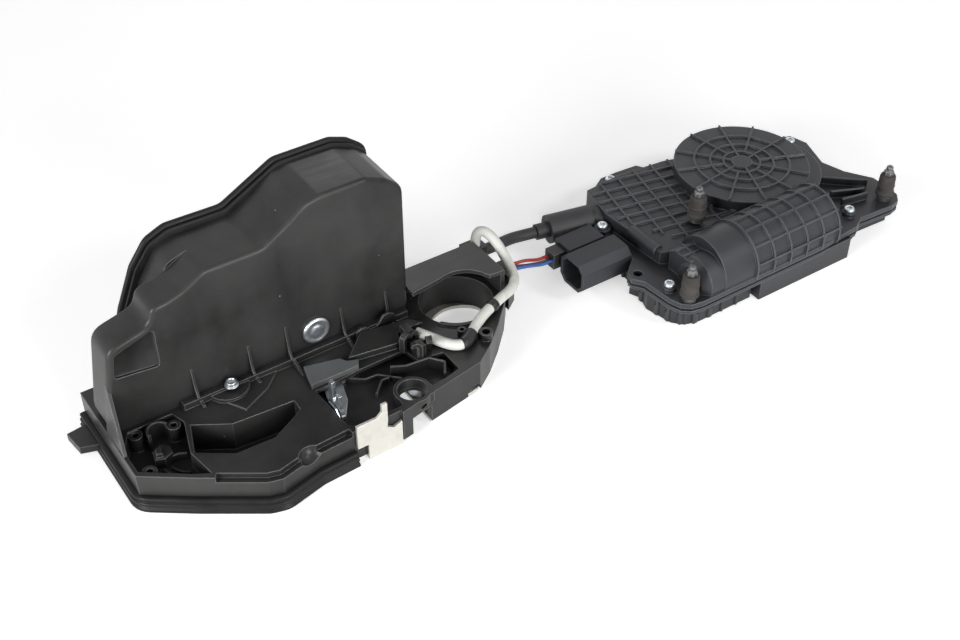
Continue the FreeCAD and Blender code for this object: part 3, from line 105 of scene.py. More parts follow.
class CordSizes(bpy.types.PropertyGroup):
    sleeve: length_setting("Sleeve", "Diameter of the white sleeve", 0.0054)
    band_wall: length_setting("Band wall", "Thickness of a band", 0.0007)


class HardwareSizes(bpy.types.PropertyGroup):
    screw_radius: length_setting("Screw head", "Radius of a lid screw's head", 0.0029)
    star_radius: length_setting("Star", "Radius of the star recess in a screw", 0.0014)
    spring_wire: length_setting("Spring wire", "Thickness of the springs' wire", 0.0012)


class StageLook(bpy.types.PropertyGroup):
    lens: level_setting("Lens", "Focal length on a 36 mm sensor", 51.75, 10.0)
    key_light: level_setting("Key light", "Power that the lamps share, in watts", 9.0)
    world_light: level_setting("World light", "Strength of the white surroundings", 0.18)
    floor_glow: level_setting("Floor glow", "Glow that turns the lit floor white", 0.50)


def settings():
    return bpy.context.scene


def join(tree, *pairs):
    for source, target in pairs:
        tree.links.new(source, target)


# Materials

EDGE_SAMPLES = 6


class Nodes:
    """Adds nodes to a material and links them, left to right."""

    def __init__(self, name):
        self.material = bpy.data.materials.new(name)
        self.material.use_nodes = True
        self.tree = self.material.node_tree
        self.shader = self.tree.nodes["Principled BSDF"]

    def feed(self, socket, value):
        """Links another node's output to a socket, or sets its value."""
        if isinstance(value, bpy.types.NodeSocket):
            self.tree.links.new(value, socket)
        else:
            socket.default_value = value

    def add(self, kind, inputs=None, **values):
        node = self.tree.nodes.new(kind)
        for key, value in values.items():
            setattr(node, key, value)
        for key, value in (inputs or {}).items():
            self.feed(node.inputs[key], value)
        return node

    def place(self, scale=(1.0, 1.0, 1.0), turn=(0.0, 0.0, 0.0)):
        """Object coordinates in metres, stretched and turned."""
        seat = self.add("ShaderNodeTexCoord").outputs["Object"]
        return self.add("ShaderNodeMapping",
                        {"Vector": seat, "Scale": scale, "Rotation": turn}).outputs["Vector"]

    def noise(self, vector, scale, detail=3.0, roughness=0.5):
        return self.add("ShaderNodeTexNoise", {
            "Vector": vector, "Scale": scale, "Detail": detail, "Roughness": roughness,
        }).outputs["Fac"]

    def ramp(self, value, low, high, start=0.0, end=1.0):
        """Maps low..high to start..end, held at both ends."""
        return self.add("ShaderNodeMapRange", {
            "Value": value, "From Min": low, "From Max": high, "To Min": start, "To Max": end,
        }).outputs["Result"]

    def math(self, operation, first, second=0.0):
        return self.add("ShaderNodeMath", {0: first, 1: second}, operation=operation).outputs[0]

    def mix(self, factor, first, second, blend="MIX"):
        node = self.add("ShaderNodeMix", data_type="RGBA", blend_type=blend)
        for key, value in ((0, factor), (6, first), (7, second)):
            if key and not isinstance(value, bpy.types.NodeSocket):
                value = (*value[:3], 1.0)
            self.feed(node.inputs[key], value)
        return node.outputs[2]

    def use(self, key, value):
        self.feed(self.shader.inputs[key], value)

    def rounded_edges(self, radius):
        """The normal of slightly rounded edges, and how close a point is to such an edge."""
        soft = self.add("ShaderNodeBevel", {"Radius": radius},
                        samples=EDGE_SAMPLES).outputs["Normal"]
        hard = self.add("ShaderNodeNewGeometry").outputs["Normal"]
        along = self.add("ShaderNodeVectorMath", {0: soft, 1: hard},
                         operation="DOT_PRODUCT").outputs["Value"]
        return soft, self.ramp(along, 0.995, 0.86)

    def bump(self, height, strength, distance, normal=None):
        node = self.add("ShaderNodeBump", {"Height": height, "Strength": strength,
                                           "Distance": distance})
        if normal is not None:
            self.tree.links.new(normal, node.inputs["Normal"])
        return node.outputs["Normal"]

    def specks(self, cell, size, share):
        """Small round specks, one in some of the cells of that many metres."""
        cells = self.add("ShaderNodeTexVoronoi", {"Vector": self.place(), "Scale": 1.0 / cell,
                                                  "Randomness": 1.0})
        near = self.math("LESS_THAN", cells.outputs["Distance"], size / cell)
        chosen = self.math("LESS_THAN",
                           self.add("ShaderNodeSeparateColor",
                                    {"Color": cells.outputs["Color"]}).outputs["Red"], share)
        return self.math("MULTIPLY", near, chosen)


def moulded_plastic(name, colour, roughness, grain, edge_highlight_gain, haze=0.35, sheen=0.26,
                    rounding=0.0007):
    """Moulded plastic: fine grain, hazy sheen, a painted highlight on edges, painted shade in
    corners, rub marks, dust.
    """
    look = settings().latch_finish
    nodes = Nodes(name)
    seat = nodes.place()
    haze_cloud = nodes.noise(seat, 26.0, 5.0, 0.62)
    patch = nodes.noise(nodes.place((1.0, 1.0, 0.22)), 34.0, 3.0, 0.55)
    dark = [part * (1.0 - haze) for part in colour]
    pale = [part * (1.0 + haze) for part in colour]
    tint = nodes.mix(nodes.ramp(haze_cloud, 0.3, 0.7), dark, pale)
    tint = nodes.mix(nodes.ramp(patch, 0.42, 0.72, 0.0, 0.7), tint, pale)
    soft, edge = nodes.rounded_edges(rounding)
    # Painted highlight: the colour near edges is lightened by a gain.
    edge_highlight_colour = [min(1.0, part * edge_highlight_gain) for part in colour]
    tint = nodes.mix(nodes.math("MULTIPLY", edge, 0.75), tint, edge_highlight_colour)
    rub = nodes.noise(nodes.place((30.0, 700.0, 30.0), (0.3, 0.2, 0.6)), 1.0, 2.0, 0.6)
    speck = nodes.specks(0.011, 0.00028, look.dust)
    tint = nodes.mix(nodes.math("MULTIPLY", speck, 0.8), tint, (0.45, 0.45, 0.43))
    # Painted shade: the colour goes towards near black where ambient occlusion finds corners and
    # crevices.
    painted_shade_openness = nodes.add("ShaderNodeAmbientOcclusion", {"Distance": 0.012},
                         samples=EDGE_SAMPLES).outputs["AO"]
    nodes.use("Base Color", nodes.mix(nodes.ramp(painted_shade_openness, 0.35, 0.95, 0.75, 0.0), tint,
                                      (0.004, 0.004, 0.004)))
    gloss = nodes.ramp(haze_cloud, 0.3, 0.7, roughness - 0.08, roughness + 0.10)
    gloss = nodes.math("ADD", gloss, nodes.ramp(rub, 0.45, 0.7, 0.0, 0.05))
    gloss = nodes.math("SUBTRACT", gloss, nodes.math("MULTIPLY", edge, 0.12))
    nodes.use("Roughness", nodes.math("ADD", gloss, nodes.math("MULTIPLY", speck, 0.3)))
    pitted = nodes.noise(seat, 3200.0, 2.0, 0.5)
    sink = nodes.noise(seat, 60.0, 2.0, 0.5)
    normal = nodes.bump(pitted, grain, 0.00008, soft)
    nodes.use("Normal", nodes.bump(sink, 0.25, 0.0004, normal))
    nodes.use("Specular IOR Level", sheen)
    return nodes.material


def rubber(name, colour, roughness=0.72, bloom=0.5, sheen=0.3):
    """Rubber: matt, with a pale bloom in patches, a painted highlight on its edges and a fine
    pitted skin.
    """
    nodes = Nodes(name)
    seat = nodes.place()
    cloud = nodes.noise(seat, 90.0, 5.0, 0.65)
    pale = [min(1.0, part * (1.0 + 1.6 * bloom)) for part in colour]
    soft, edge = nodes.rounded_edges(0.0005)
    tint = nodes.mix(nodes.ramp(cloud, 0.4, 0.72), colour, pale)
    # Painted highlight: edges are lightened to three times the colour.
    tint = nodes.mix(nodes.math("MULTIPLY", edge, 0.4), tint, [part * 3.0 for part in colour])
    nodes.use("Base Color", tint)
    nodes.use("Roughness", nodes.ramp(cloud, 0.3, 0.7, roughness - 0.12, roughness + 0.1))
    skin = nodes.noise(seat, 1500.0, 3.0, 0.6)
    nodes.use("Normal", nodes.bump(skin, 0.35, 0.0002, soft))
    nodes.use("Specular IOR Level", sheen)
    return nodes.material


def plated_steel(name, colour, roughness, spangle, metallic=1.0, stain=(0.36, 0.33, 0.27)):
    """Zinc plate: cloudy crystals, fine rolling marks, duller patches and a painted highlight on
    edges.
    """
    nodes = Nodes(name)
    seat = nodes.place()
    crystal = nodes.add("ShaderNodeTexVoronoi", {"Vector": seat, "Scale": 420.0,
                                                 "Randomness": 1.0}).outputs["Color"]
    flake = nodes.add("ShaderNodeSeparateColor", {"Color": crystal}).outputs["Green"]
    cloud = nodes.noise(seat, 120.0, 4.0, 0.6)
    rolling = nodes.noise(nodes.place((60.0, 2600.0, 60.0)), 1.0, 2.0, 0.5)
    dark = [part * (1.0 - spangle) for part in colour]
    tint = nodes.mix(flake, dark, colour)
    tint = nodes.mix(nodes.ramp(cloud, 0.58, 0.8, 0.0, 0.35), tint, stain)
    soft, edge = nodes.rounded_edges(0.00035)
    # Painted highlight: edges are lightened towards near white.
    tint = nodes.mix(nodes.math("MULTIPLY", edge, 0.6), tint, (0.9, 0.91, 0.92))
    nodes.use("Base Color", tint)
    nodes.use("Metallic", metallic)
    gloss = nodes.ramp(cloud, 0.3, 0.75, roughness - 0.07, roughness + 0.12)
    nodes.use("Roughness", nodes.math("ADD", gloss, nodes.ramp(rolling, 0.4, 0.7, 0.0, 0.05)))
    normal = nodes.bump(rolling, 0.12, 0.00006, soft)
    nodes.use("Normal", nodes.bump(cloud, 0.2, 0.0002, normal))
    return nodes.material


def woven_sleeve(name, colour):
    """Off-white cloth tape sleeve, dull, with fine ribs across and grey handling marks."""
    nodes = Nodes(name)
    seat = nodes.place()
    soil = nodes.noise(seat, 130.0, 4.0, 0.65)
    tint = nodes.mix(nodes.ramp(soil, 0.52, 0.8, 0.0, 0.55), colour, (0.46, 0.45, 0.41))
    nodes.use("Base Color", tint)
    nodes.use("Roughness", nodes.ramp(soil, 0.3, 0.7, 0.42, 0.62))
    weave = nodes.noise(seat, 2200.0, 2.0, 0.5)
    folds = nodes.noise(seat, 260.0, 2.0, 0.5)
    normal = nodes.bump(weave, 0.3, 0.0001)
    nodes.use("Normal", nodes.bump(folds, 0.35, 0.0005, normal))
    nodes.use("Subsurface Weight", 0.05)
    nodes.use("Subsurface Radius", (0.001, 0.001, 0.0008))
    return nodes.material


def wire_skin(name, colour):
    """Smooth glossy wire insulation with slight colour drift."""
    nodes = Nodes(name)
    drift = nodes.noise(nodes.place(), 300.0, 3.0, 0.5)
    dark = [part * 0.75 for part in colour]
    nodes.use("Base Color", nodes.mix(nodes.ramp(drift, 0.3, 0.7), dark, colour))
    nodes.use("Roughness", nodes.ramp(drift, 0.3, 0.7, 0.30, 0.45))
    nodes.use("Normal", nodes.bump(drift, 0.15, 0.0002))
    return nodes.material


def acetal(name, colour):
    """White gear plastic, slightly waxy, with a trace of grease."""
    nodes = Nodes(name)
    grease = nodes.noise(nodes.place(), 140.0, 4.0, 0.6)
    nodes.use("Base Color", nodes.mix(nodes.ramp(grease, 0.5, 0.75, 0.0, 0.6), colour,
                                      (0.55, 0.50, 0.36)))
    nodes.use("Roughness", nodes.ramp(grease, 0.45, 0.7, 0.42, 0.24))
    soft, _ = nodes.rounded_edges(0.0003)
    nodes.use("Normal", nodes.bump(grease, 0.1, 0.0002, soft))
    nodes.use("Subsurface Weight", 0.08)
    nodes.use("Subsurface Radius", (0.002, 0.002, 0.0015))
    return nodes.material


FINISHES = {}


def finish(name):
    """The material of that name, made on first use."""
    look = settings().latch_finish
    kinds = {
        "housing": (moulded_plastic, "housing_plastic", look.housing, 0.34, 0.3, 9.0, 0.5),
        "drive": (moulded_plastic, "drive_plastic", look.drive, 0.38, 0.8, 5.5, 0.35,
                  0.36, 0.0011),
        "socket": (moulded_plastic, "socket_plastic", [1.15 * part for part in look.drive],
                   0.46, 0.25, 2.6, 0.15),
        "pad": (moulded_plastic, "pad_plastic", look.pad, 0.48, 0.3, 2.2, 0.2),
        "jacket": (rubber, "jacket_rubber", [0.028, 0.028, 0.030], 0.52, 0.3),
        "tape": (rubber, "band_tape", [0.016, 0.016, 0.017], 0.34, 0.2),
        "seal": (rubber, "seal_rubber", look.seal, 0.40, 0.35, 0.16),
        "bush": (rubber, "bush_rubber", look.bush, 0.78, 0.7),
        "zinc": (plated_steel, "bright_zinc", look.zinc, 0.30, 0.25, 0.9),
        "plate": (plated_steel, "plate_zinc", look.plate, 0.46, 0.07, 0.75),
        "pin": (plated_steel, "pin_tin", [0.72, 0.70, 0.66], 0.25, 0.08),
        "stud": (plated_steel, "stud_steel", [0.13, 0.13, 0.13], 0.42, 0.35, 0.7,
                  (0.10, 0.09, 0.08)),
        "motor": (plated_steel, "motor_steel", [0.55, 0.56, 0.57], 0.35, 0.1),
        "spring": (plated_steel, "spring_steel", [0.34, 0.34, 0.35], 0.32, 0.1),
        "sleeve": (woven_sleeve, "sleeve_cloth", look.sleeve),
        "red": (wire_skin, "wire_red_skin", [0.42, 0.020, 0.018]),
        "brown": (wire_skin, "wire_brown_skin", [0.115, 0.035, 0.020]),
        "blue": (wire_skin, "wire_blue_skin", [0.020, 0.10, 0.40]),
        "gear": (acetal, "gear_acetal", look.gear),
    }
    if name not in FINISHES:
        maker, *values = kinds[name]
        FINISHES[name] = maker(*values)
    return FINISHES[name]


NODE_FINISH = {
    "housing": ("latch_base", "actuator_cover", "bore_hood", "mechanism_cover", "cable_clips",
                "cable_holder", "wire_grommet", "wire_plug"),
    "drive": ("drive_housing", "drive_lid"),
    "socket": ("connector_shell",),
    "pad": ("shelf_pad",),
    "jacket": ("drive_cable_jacket", "cable_boot", "cable_ferrule"),
    "seal": ("foot_seal", "rear_seal", "drive_gasket"),
    "bush": ("bush_front", "bush_middle", "bush_right"),
    "zinc": ("catch", "pawl", "catch_pin", "pawl_pin", "lever_pin", "release_lever",
             "wall_button", "deck_screw", "drive_screws"),
    "plate": ("latch_plate",),
    "pin": ("socket_pins",),
    "stud": ("stud_front", "stud_middle", "stud_right"),
    "motor": ("motor_can", "worm_shaft", "wheel_axle", "drum_axle"),
    "spring": ("catch_spring", "pawl_spring"),
    "sleeve": ("cable_sleeve",),
    "red": ("wire_red",),
    "brown": ("wire_brown",),
    "blue": ("wire_blue",),
    "gear": ("worm_wheel", "output_gear", "cable_drum"),
}


# Mesh helpers

def placed(name, data):
    """A new object in the scene."""
    item = bpy.data.objects.new(name, data)
    settings().collection.objects.link(item)
    return item


def piece(name, mesh, material, body, slot, *replaced):
    """Turns a mesh into a finished piece that rides on a body."""
    item = placed(name, mesh)
    mesh.materials.clear()
    mesh.materials.append(finish(material))
    if replaced:
        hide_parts(*replaced)
    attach(item, body)
    return item


def mesh_from(name, build):
    """A mesh that build fills through a bmesh, with outward normals."""
    mesh = bpy.data.meshes.new(name)
    work = bmesh.new()
    build(work)
    bmesh.ops.remove_doubles(work, verts=work.verts, dist=1e-6)
    bmesh.ops.recalc_face_normals(work, faces=work.faces)
    work.to_mesh(mesh)
    work.free()
    return mesh


def shade(mesh, angle):
    """Smooth shading with sharp edges past an angle."""
    for face in mesh.polygons:
        face.use_smooth = True
    mesh.set_sharp_from_angle(angle=math.radians(angle))


def formed(name, build, angle, material, slot, *replaced, body="latch"):
    """A finished piece whose mesh build fills."""
    mesh = mesh_from(name, build)
    shade(mesh, angle)
    return piece(name, mesh, material, body, slot, *replaced)


def skin(work, rows):
    """Faces between neighbouring closed rows of corners."""
    for first, second in zip(rows, rows[1:]):
        for number in range(len(first)):
            after = (number + 1) % len(first)
            work.faces.new((first[number], first[after], second[after], second[number]))


def capped(work, rows):
    """Faces between closed rows of corners, and one over each end."""
    skin(work, rows)
    work.faces.new(rows[0][::-1])
    work.faces.new(rows[-1])


def turned(work, rings, place=None, sides=32):
    """Rings of (radius, height), or (radius function, height), closed by their end faces."""
    place = place or Matrix.Identity(4)
    rows = []
    for radius, height in rings:
        row = []
        for number in range(sides):
            angle = math.tau * number / sides
            reach = radius(angle) if callable(radius) else radius
            row.append(work.verts.new(place @ Vector((reach * math.cos(angle),
                                                      reach * math.sin(angle), height))))
        rows.append(row)
    capped(work, rows)


def star(radius, depth=0.16):
    """Radius function of a six-lobed recess."""
    return lambda angle: radius * (1.0 + depth * math.cos(6.0 * angle))


# Stage

class LATCH_OT_stage(bpy.types.Operator):
    """Places the camera, the lamps and the white floor"""
    bl_idname = "latch.stage"
    bl_label = "Stage"

    CAMERA_SPOT = (-0.2962, -0.4547, 0.470)
    CAMERA_TURN = (49.5, 0.0, -34.0)
    AIM = (0.03, -0.01, 0.03)
    LAMPS = (("lamp_left", (-1.2, -0.30, 0.42), 0.55, 1.5),
             ("lamp_front", (0.05, -1.35, 0.36), 0.6, 1.35),
             ("lamp_right", (0.62, -0.95, 0.95), 0.25, 0.45),
             ("lamp_rear", (0.55, 1.05, 0.85), 0.25, 0.10))
    FLOOR_DROP, FLOOR_REACH = 0.0002, 4.0

    def execute(self, context):
        scene = context.scene
        look = scene.latch_stage
        lens = bpy.data.cameras.new("camera")
        lens.lens = look.lens
        lens.sensor_width = 36.0
        camera = placed("camera", lens)
        camera.location = self.CAMERA_SPOT
        camera.rotation_euler = [math.radians(part) for part in self.CAMERA_TURN]
        scene.camera = camera
        for name, spot, size, share in self.LAMPS:
            data = bpy.data.lights.new(name, "AREA")
            data.shape = "SQUARE"
            data.size = size
            data.energy = look.key_light * share
            lamp = placed(name, data)
            lamp.location = spot
            ahead = Vector(self.AIM) - Vector(spot)
            lamp.rotation_euler = ahead.to_track_quat("-Z", "Y").to_euler()
        self.surroundings(scene, look)
        floor = placed("floor", mesh_from("floor", self.floor))
        floor.data.materials.append(self.floor_material(look))
        scene.view_settings.view_transform = "Standard"
        return {"FINISHED"}

    def floor(self, work):
        low, far = CAD_BOX[0][2] - self.FLOOR_DROP, self.FLOOR_REACH
        corners = ((-far, -far), (far, -far), (far, far), (-far, far))
        work.faces.new([work.verts.new((x, y, low)) for x, y in corners])

    def surroundings(self, scene, look):
        """White surroundings that the camera and the gloss see at full strength."""
        world = bpy.data.worlds.new("surroundings")
        scene.world = world
        world.use_nodes = True
        tree = world.node_tree
        tree.nodes.clear()
        add = tree.nodes.new
        path = add("ShaderNodeLightPath")
        seen = path.outputs["Is Camera Ray"]
        for ray in ("Is Glossy Ray", "Is Transmission Ray"):
            either = add("ShaderNodeMath")
            either.operation = "MAXIMUM"
            join(tree, (seen, either.inputs[0]), (path.outputs[ray], either.inputs[1]))
            seen = either.outputs[0]
        strength = add("ShaderNodeMath")
        strength.operation = "MULTIPLY_ADD"
        strength.inputs[1].default_value = 1.0 - look.world_light
        strength.inputs[2].default_value = look.world_light
        back = add("ShaderNodeBackground")
        back.inputs["Color"].default_value = (1.0, 1.0, 1.0, 1.0)
        out = add("ShaderNodeOutputWorld")
        join(tree, (seen, strength.inputs[0]), (strength.outputs[0], back.inputs["Strength"]),
             (back.outputs[0], out.inputs["Surface"]))

    def floor_material(self, look):
        """White floor: white to the camera except where the object shades it."""
        nodes = Nodes("floor_white")
        nodes.use("Base Color", (0.88, 0.88, 0.88, 1.0))
        nodes.use("Roughness", 0.7)
        nodes.use("Emission Color", (1.0, 1.0, 1.0, 1.0))
        path = nodes.add("ShaderNodeLightPath")
        seen = nodes.math("MAXIMUM", path.outputs["Is Camera Ray"], path.outputs["Is Glossy Ray"])
        seen = nodes.math("MAXIMUM", seen, path.outputs["Is Transmission Ray"])
        nodes.use("Emission Strength", nodes.math("MULTIPLY", seen, look.floor_glow))
        return nodes.material


# Finishes

class LATCH_OT_finishes(bpy.types.Operator):
    """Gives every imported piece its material"""
    bl_idname = "latch.finishes"
    bl_label = "Finishes"

    def execute(self, context):
        for material, names in NODE_FINISH.items():
            for name in names:
                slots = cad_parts[name].data.materials
                slots.clear()
                slots.append(finish(material))
        return {"FINISHED"}


# Cords

SLEEVE_ROUTE = ((-34.7, -11.0, 23.0), (-31.0, -17.5, 22.7), (-26.0, -28.0, 22.7),
                (-20.5, -31.5, 22.7), (-13.8, -27.7, 22.9), (-3.0, -20.4, 24.2),
                (12.0, -14.5, 24.6), (25.5, -9.5, 23.6), (31.0, -1.0, 24.0), (32.0, 8.0, 28.0),
                (31.5, 16.0, 34.0), (29.0, 23.0, 38.0), (26.0, 27.5, 35.0), (26.0, 27.5, 27.0))


def smooth_curve(name, route, radius):
    """A round cord along a NURBS spline whose control points are the route."""
    data = bpy.data.curves.new(name, "CURVE")
    data.dimensions = "3D"
    data.resolution_u = 10
    spline = data.splines.new("NURBS")
    spline.points.add(len(route) - 1)
    for point, spot in zip(spline.points, route):
        point.co = (*(part * MM for part in spot), 1.0)
    spline.order_u = 3
    spline.use_endpoint_u = True
    data.bevel_depth = radius
    data.bevel_resolution = 5
    data.use_fill_caps = True
    return data


def curve_points(data):
    """The points along a curve's own line."""
    bare = data.copy()
    bare.bevel_depth = 0.0
    item = placed("line", bare)
    line = bpy.data.meshes.new_from_object(item)
    points = [vertex.co.copy() for vertex in line.vertices]
    bpy.data.objects.remove(item)
    bpy.data.meshes.remove(line)
    return points


def stretch(line, middle, width):
    """The points of a line within a width round a distance along it."""
    picked, run = [], 0.0
    for before, after in zip(line, line[1:]):
        step = (after - before).length
        if abs(run - middle) <= width / 2.0:
            picked.append(before)
        run += step
    return picked


def swept(work, line, radius, sides=24, ease=0.0004):
    """A round tube along points, its ends eased and closed."""
    rows = []
    last = len(line) - 1
    for number, spot in enumerate(line):
        ahead = (line[min(number + 1, last)] - line[max(number - 1, 0)]).normalized()
        turn = ahead.to_track_quat("Z", "Y").to_matrix().to_4x4()
        reach = radius - (ease if number in (0, last) else 0.0)
        place = Matrix.Translation(spot) @ turn
        rows.append([work.verts.new(place @ Vector((reach * math.cos(math.tau * step / sides),
                                                    reach * math.sin(math.tau * step / sides),
                                                    0.0)))
                     for step in range(sides)])
    capped(work, rows)


class LATCH_OT_sleeve(bpy.types.Operator):
    """Lays the white sleeve along the bore and puts its black bands on"""
    bl_idname = "latch.sleeve"
    bl_label = "White sleeve"

    BANDS = ((0.235, 0.0105), (0.445, 0.0058))

    def execute(self, context):
        sizes = context.scene.latch_cords
        data = smooth_curve("white_sleeve", SLEEVE_ROUTE, sizes.sleeve / 2.0)
        sleeve = placed("white_sleeve", data)
        data.materials.append(finish("sleeve"))
        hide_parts("cable_sleeve")
        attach(sleeve, "latch")
        line = curve_points(data)
        length = sum((after - before).length for before, after in zip(line, line[1:]))

        def bands(work):
            for share, width in self.BANDS:
                swept(work, stretch(line, share * length, width),
                      sizes.sleeve / 2.0 + sizes.band_wall)
        straps = formed("sleeve_bands", bands, 35.0, "tape", "jacket_black")
        return {"FINISHED"}


# Screws and buttons

def screw_rings(sizes, low, tall):
    """Rounded screw head with a star recess, from its rim up and down into the recess."""
    rim, socket = sizes.screw_radius, sizes.star_radius
    top = low + tall
    return ((rim - 0.0003, low), (rim, low + 0.0004), (rim, top - 0.0007),
            (rim - 0.0003, top - 0.0002), (rim - 0.0008, top), (star(socket * 1.12), top),
            (star(socket), top - 0.0003), (star(socket * 0.96), top - 0.0012))


class LATCH_OT_screws(bpy.types.Operator):
    """Makes the star screws that hold the drive's lid"""
    bl_idname = "latch.screws"
    bl_label = "Screws"

    LID = ((130.0, 44.0, 18.0), (96.5, 8.5, 21.0), (94.5, -50.5, 20.5), (243.0, 16.0, 18.0),
           (219.0, -55.5, 20.5))

    def execute(self, context):
        sizes = context.scene.latch_hardware
        pattern = placed("screw_pattern", mesh_from(
            "screw_pattern", lambda work: turned(work, screw_rings(sizes, 0.0, 0.0024),
                                                 sides=48)))
        shade(pattern.data, 40.0)
        mesh = scattered("lid_screws", self.LID, pattern, "zinc")
        piece("lid_screws", mesh, "zinc", "latch", "zinc", "drive_screws")
        return {"FINISHED"}


def node_tree(name, inputs):
    """A geometry node group with those inputs and a geometry output."""
    tree = bpy.data.node_groups.new(name, "GeometryNodeTree")
    for label, kind in inputs.items():
        tree.interface.new_socket(label, in_out="INPUT", socket_type="NodeSocket" + kind)
    tree.interface.new_socket("Geometry", in_out="OUTPUT", socket_type="NodeSocketGeometry")
    return tree


def painted(tree, shape, material):
    """Ends a node group with a shape made real and given its material."""
    add = tree.nodes.new
    real = add("GeometryNodeRealizeInstances")
    paint = add("GeometryNodeSetMaterial")
    end = add("NodeGroupOutput")
    join(tree, (shape, real.inputs[0]), (real.outputs[0], paint.inputs["Geometry"]),
         (material, paint.inputs["Material"]), (paint.outputs[0], end.inputs["Geometry"]))


def made_by(tree, carrier, values):
    """The plain mesh that a node group makes on an object, which is then removed."""
    modifier = carrier.modifiers.new(tree.name, "NODES")
    modifier.node_group = tree
    for item in tree.interface.items_tree:
        if item.in_out == "INPUT" and item.name in values:
            modifier[item.identifier] = values[item.name]
    graph = bpy.context.evaluated_depsgraph_get()
    mesh = bpy.data.meshes.new_from_object(carrier.evaluated_get(graph), depsgraph=graph)
    bpy.data.objects.remove(carrier)
    return mesh


SCREW_TURN = 0.7


def scattered(name, spots, pattern, material):
    """One plain mesh of copies of a pattern at the given millimetre spots, each turned."""
    cloud = bpy.data.meshes.new(name + "_spots")
    cloud.from_pydata([[part * MM for part in spot] for spot in spots], [], [])
    carrier = placed(name + "_carrier", cloud)
    tree = node_tree(name, {"Geometry": "Geometry", "Pattern": "Object", "Turn": "Float",
                            "Finish": "Material"})
    add = tree.nodes.new
    start = add("NodeGroupInput")
    source = add("GeometryNodeObjectInfo")
    spread = add("GeometryNodeInstanceOnPoints")
    number = add("GeometryNodeInputIndex")
    angle = add("ShaderNodeMath")
    angle.operation = "MULTIPLY"
    spin = add("ShaderNodeCombineXYZ")
    join(tree, (start.outputs["Geometry"], spread.inputs["Points"]),
         (start.outputs["Pattern"], source.inputs["Object"]),
         (source.outputs["Geometry"], spread.inputs["Instance"]),
         (number.outputs[0], angle.inputs[0]), (start.outputs["Turn"], angle.inputs[1]),
         (angle.outputs[0], spin.inputs["Z"]), (spin.outputs[0], spread.inputs["Rotation"]))
    painted(tree, spread.outputs[0], start.outputs["Finish"])
    mesh = made_by(tree, carrier, {"Pattern": pattern, "Turn": SCREW_TURN,
                                   "Finish": finish(material)})
    bpy.data.objects.remove(pattern)
    return mesh


# Seals

CORNER = 9.0
FOOT_LINE = ((-188.0, 44.0), (-188.0, -21.0), (-166.0, -37.0), (-140.0, -54.5), (-133.0, -56.5),
             (-113.0, -52.0), (-93.5, -51.2))
FOOT_PROFILE = ((0.0, 0.0), (3.2, 0.0), (3.55, 0.35), (3.6, 1.1), (3.3, 1.8), (2.5, 2.3),
                (2.35, 2.7), (2.8, 3.1), (3.25, 3.6), (3.2, 4.4), (2.7, 4.95), (2.1, 5.3),
                (2.15, 5.7), (2.6, 6.1), (2.8, 6.7), (2.55, 7.5), (1.8, 8.0), (0.0, 8.0))
REAR_LINE = ((-176.0, 3.6), (-27.0, 3.6), (-27.0, 99.0), (-36.5, 106.5), (-46.0, 110.0),
             (-76.0, 110.0), (-104.5, 94.6), (-133.0, 95.2), (-143.0, 91.0), (-151.8, 79.4),
             (-160.8, 58.4), (-164.0, 48.0))
REAR_PROFILE = ((-6.0, 41.0), (-1.6, 41.0), (-0.9, 41.3), (-0.7, 42.0), (-1.0, 42.6),
                (-1.9, 42.9), (-1.9, 43.4), (-0.4, 43.7), (0.5, 44.1), (0.8, 44.9), (0.6, 45.9),
                (0.0, 46.7), (-0.9, 47.0), (-1.8, 46.5), (-2.3, 45.8), (-3.2, 45.8),
                (-3.8, 46.6), (-6.0, 46.8))


def eased(points, radius, closed, steps=5):
    """A line through points with its corners rounded."""
    spots = [Vector(point) for point in points]
    result = []
    for number, corner in enumerate(spots):
        if not closed and number in (0, len(spots) - 1):
            result.append(corner)
            continue
        into = corner - spots[number - 1]
        away = spots[(number + 1) % len(spots)] - corner
        trim = min(radius * math.tan(into.angle(away) / 2.0), into.length * 0.45,
                   away.length * 0.45)
        first, last = corner - into.normalized() * trim, corner + away.normalized() * trim
        for step in range(steps + 1):
            share = step / steps
            result.append(first * (1.0 - share) ** 2 + corner * 2.0 * share * (1.0 - share)
                          + last * share ** 2)
    return result


def outward(line, number, closed):
    """Unit vector to the right of a line at one of its points."""
    last = len(line) - 1
    before = line[number - 1] if closed else line[max(number - 1, 0)]
    after = line[(number + 1) % (last + 1)] if closed else line[min(number + 1, last)]
    run = (after - before).normalized()
    return Vector((run.y, -run.x))


def strip(work, line, profile, closed, place):
    """Sweeps a closed profile of (outwards, level) along a flat line."""
    rows = []
    for number, spot in enumerate(line):
        side = outward(line, number, closed)
        rows.append([work.verts.new(place(spot + side * reach, level) * MM)
                     for reach, level in profile])
    pairs = list(zip(rows, rows[1:])) + ([(rows[-1], rows[0])] if closed else [])
    for first, second in pairs:
        for number in range(len(profile)):
            after = (number + 1) % len(profile)
            work.faces.new((first[number], second[number], second[after], first[after]))
    if not closed:
        work.faces.new(rows[0])
        work.faces.new(rows[-1][::-1])


class LATCH_OT_seals(bpy.types.Operator):
    """Makes the ribbed rubber strip round the foot and the bead round the rear of the cover"""
    bl_idname = "latch.seals"
    bl_label = "Seals"

    def execute(self, context):
        for name, line, profile, closed, place, node in (
                ("foot_strip", FOOT_LINE, FOOT_PROFILE, False, upright, "foot_seal"),
                ("rear_bead", REAR_LINE, REAR_PROFILE, True, standing, "rear_seal")):
            formed(name, lambda work: strip(work, eased(line, CORNER, closed), profile, closed,
                                            place), 50.0, "seal", "seal_rubber", node)
        return {"FINISHED"}


# Moulded details

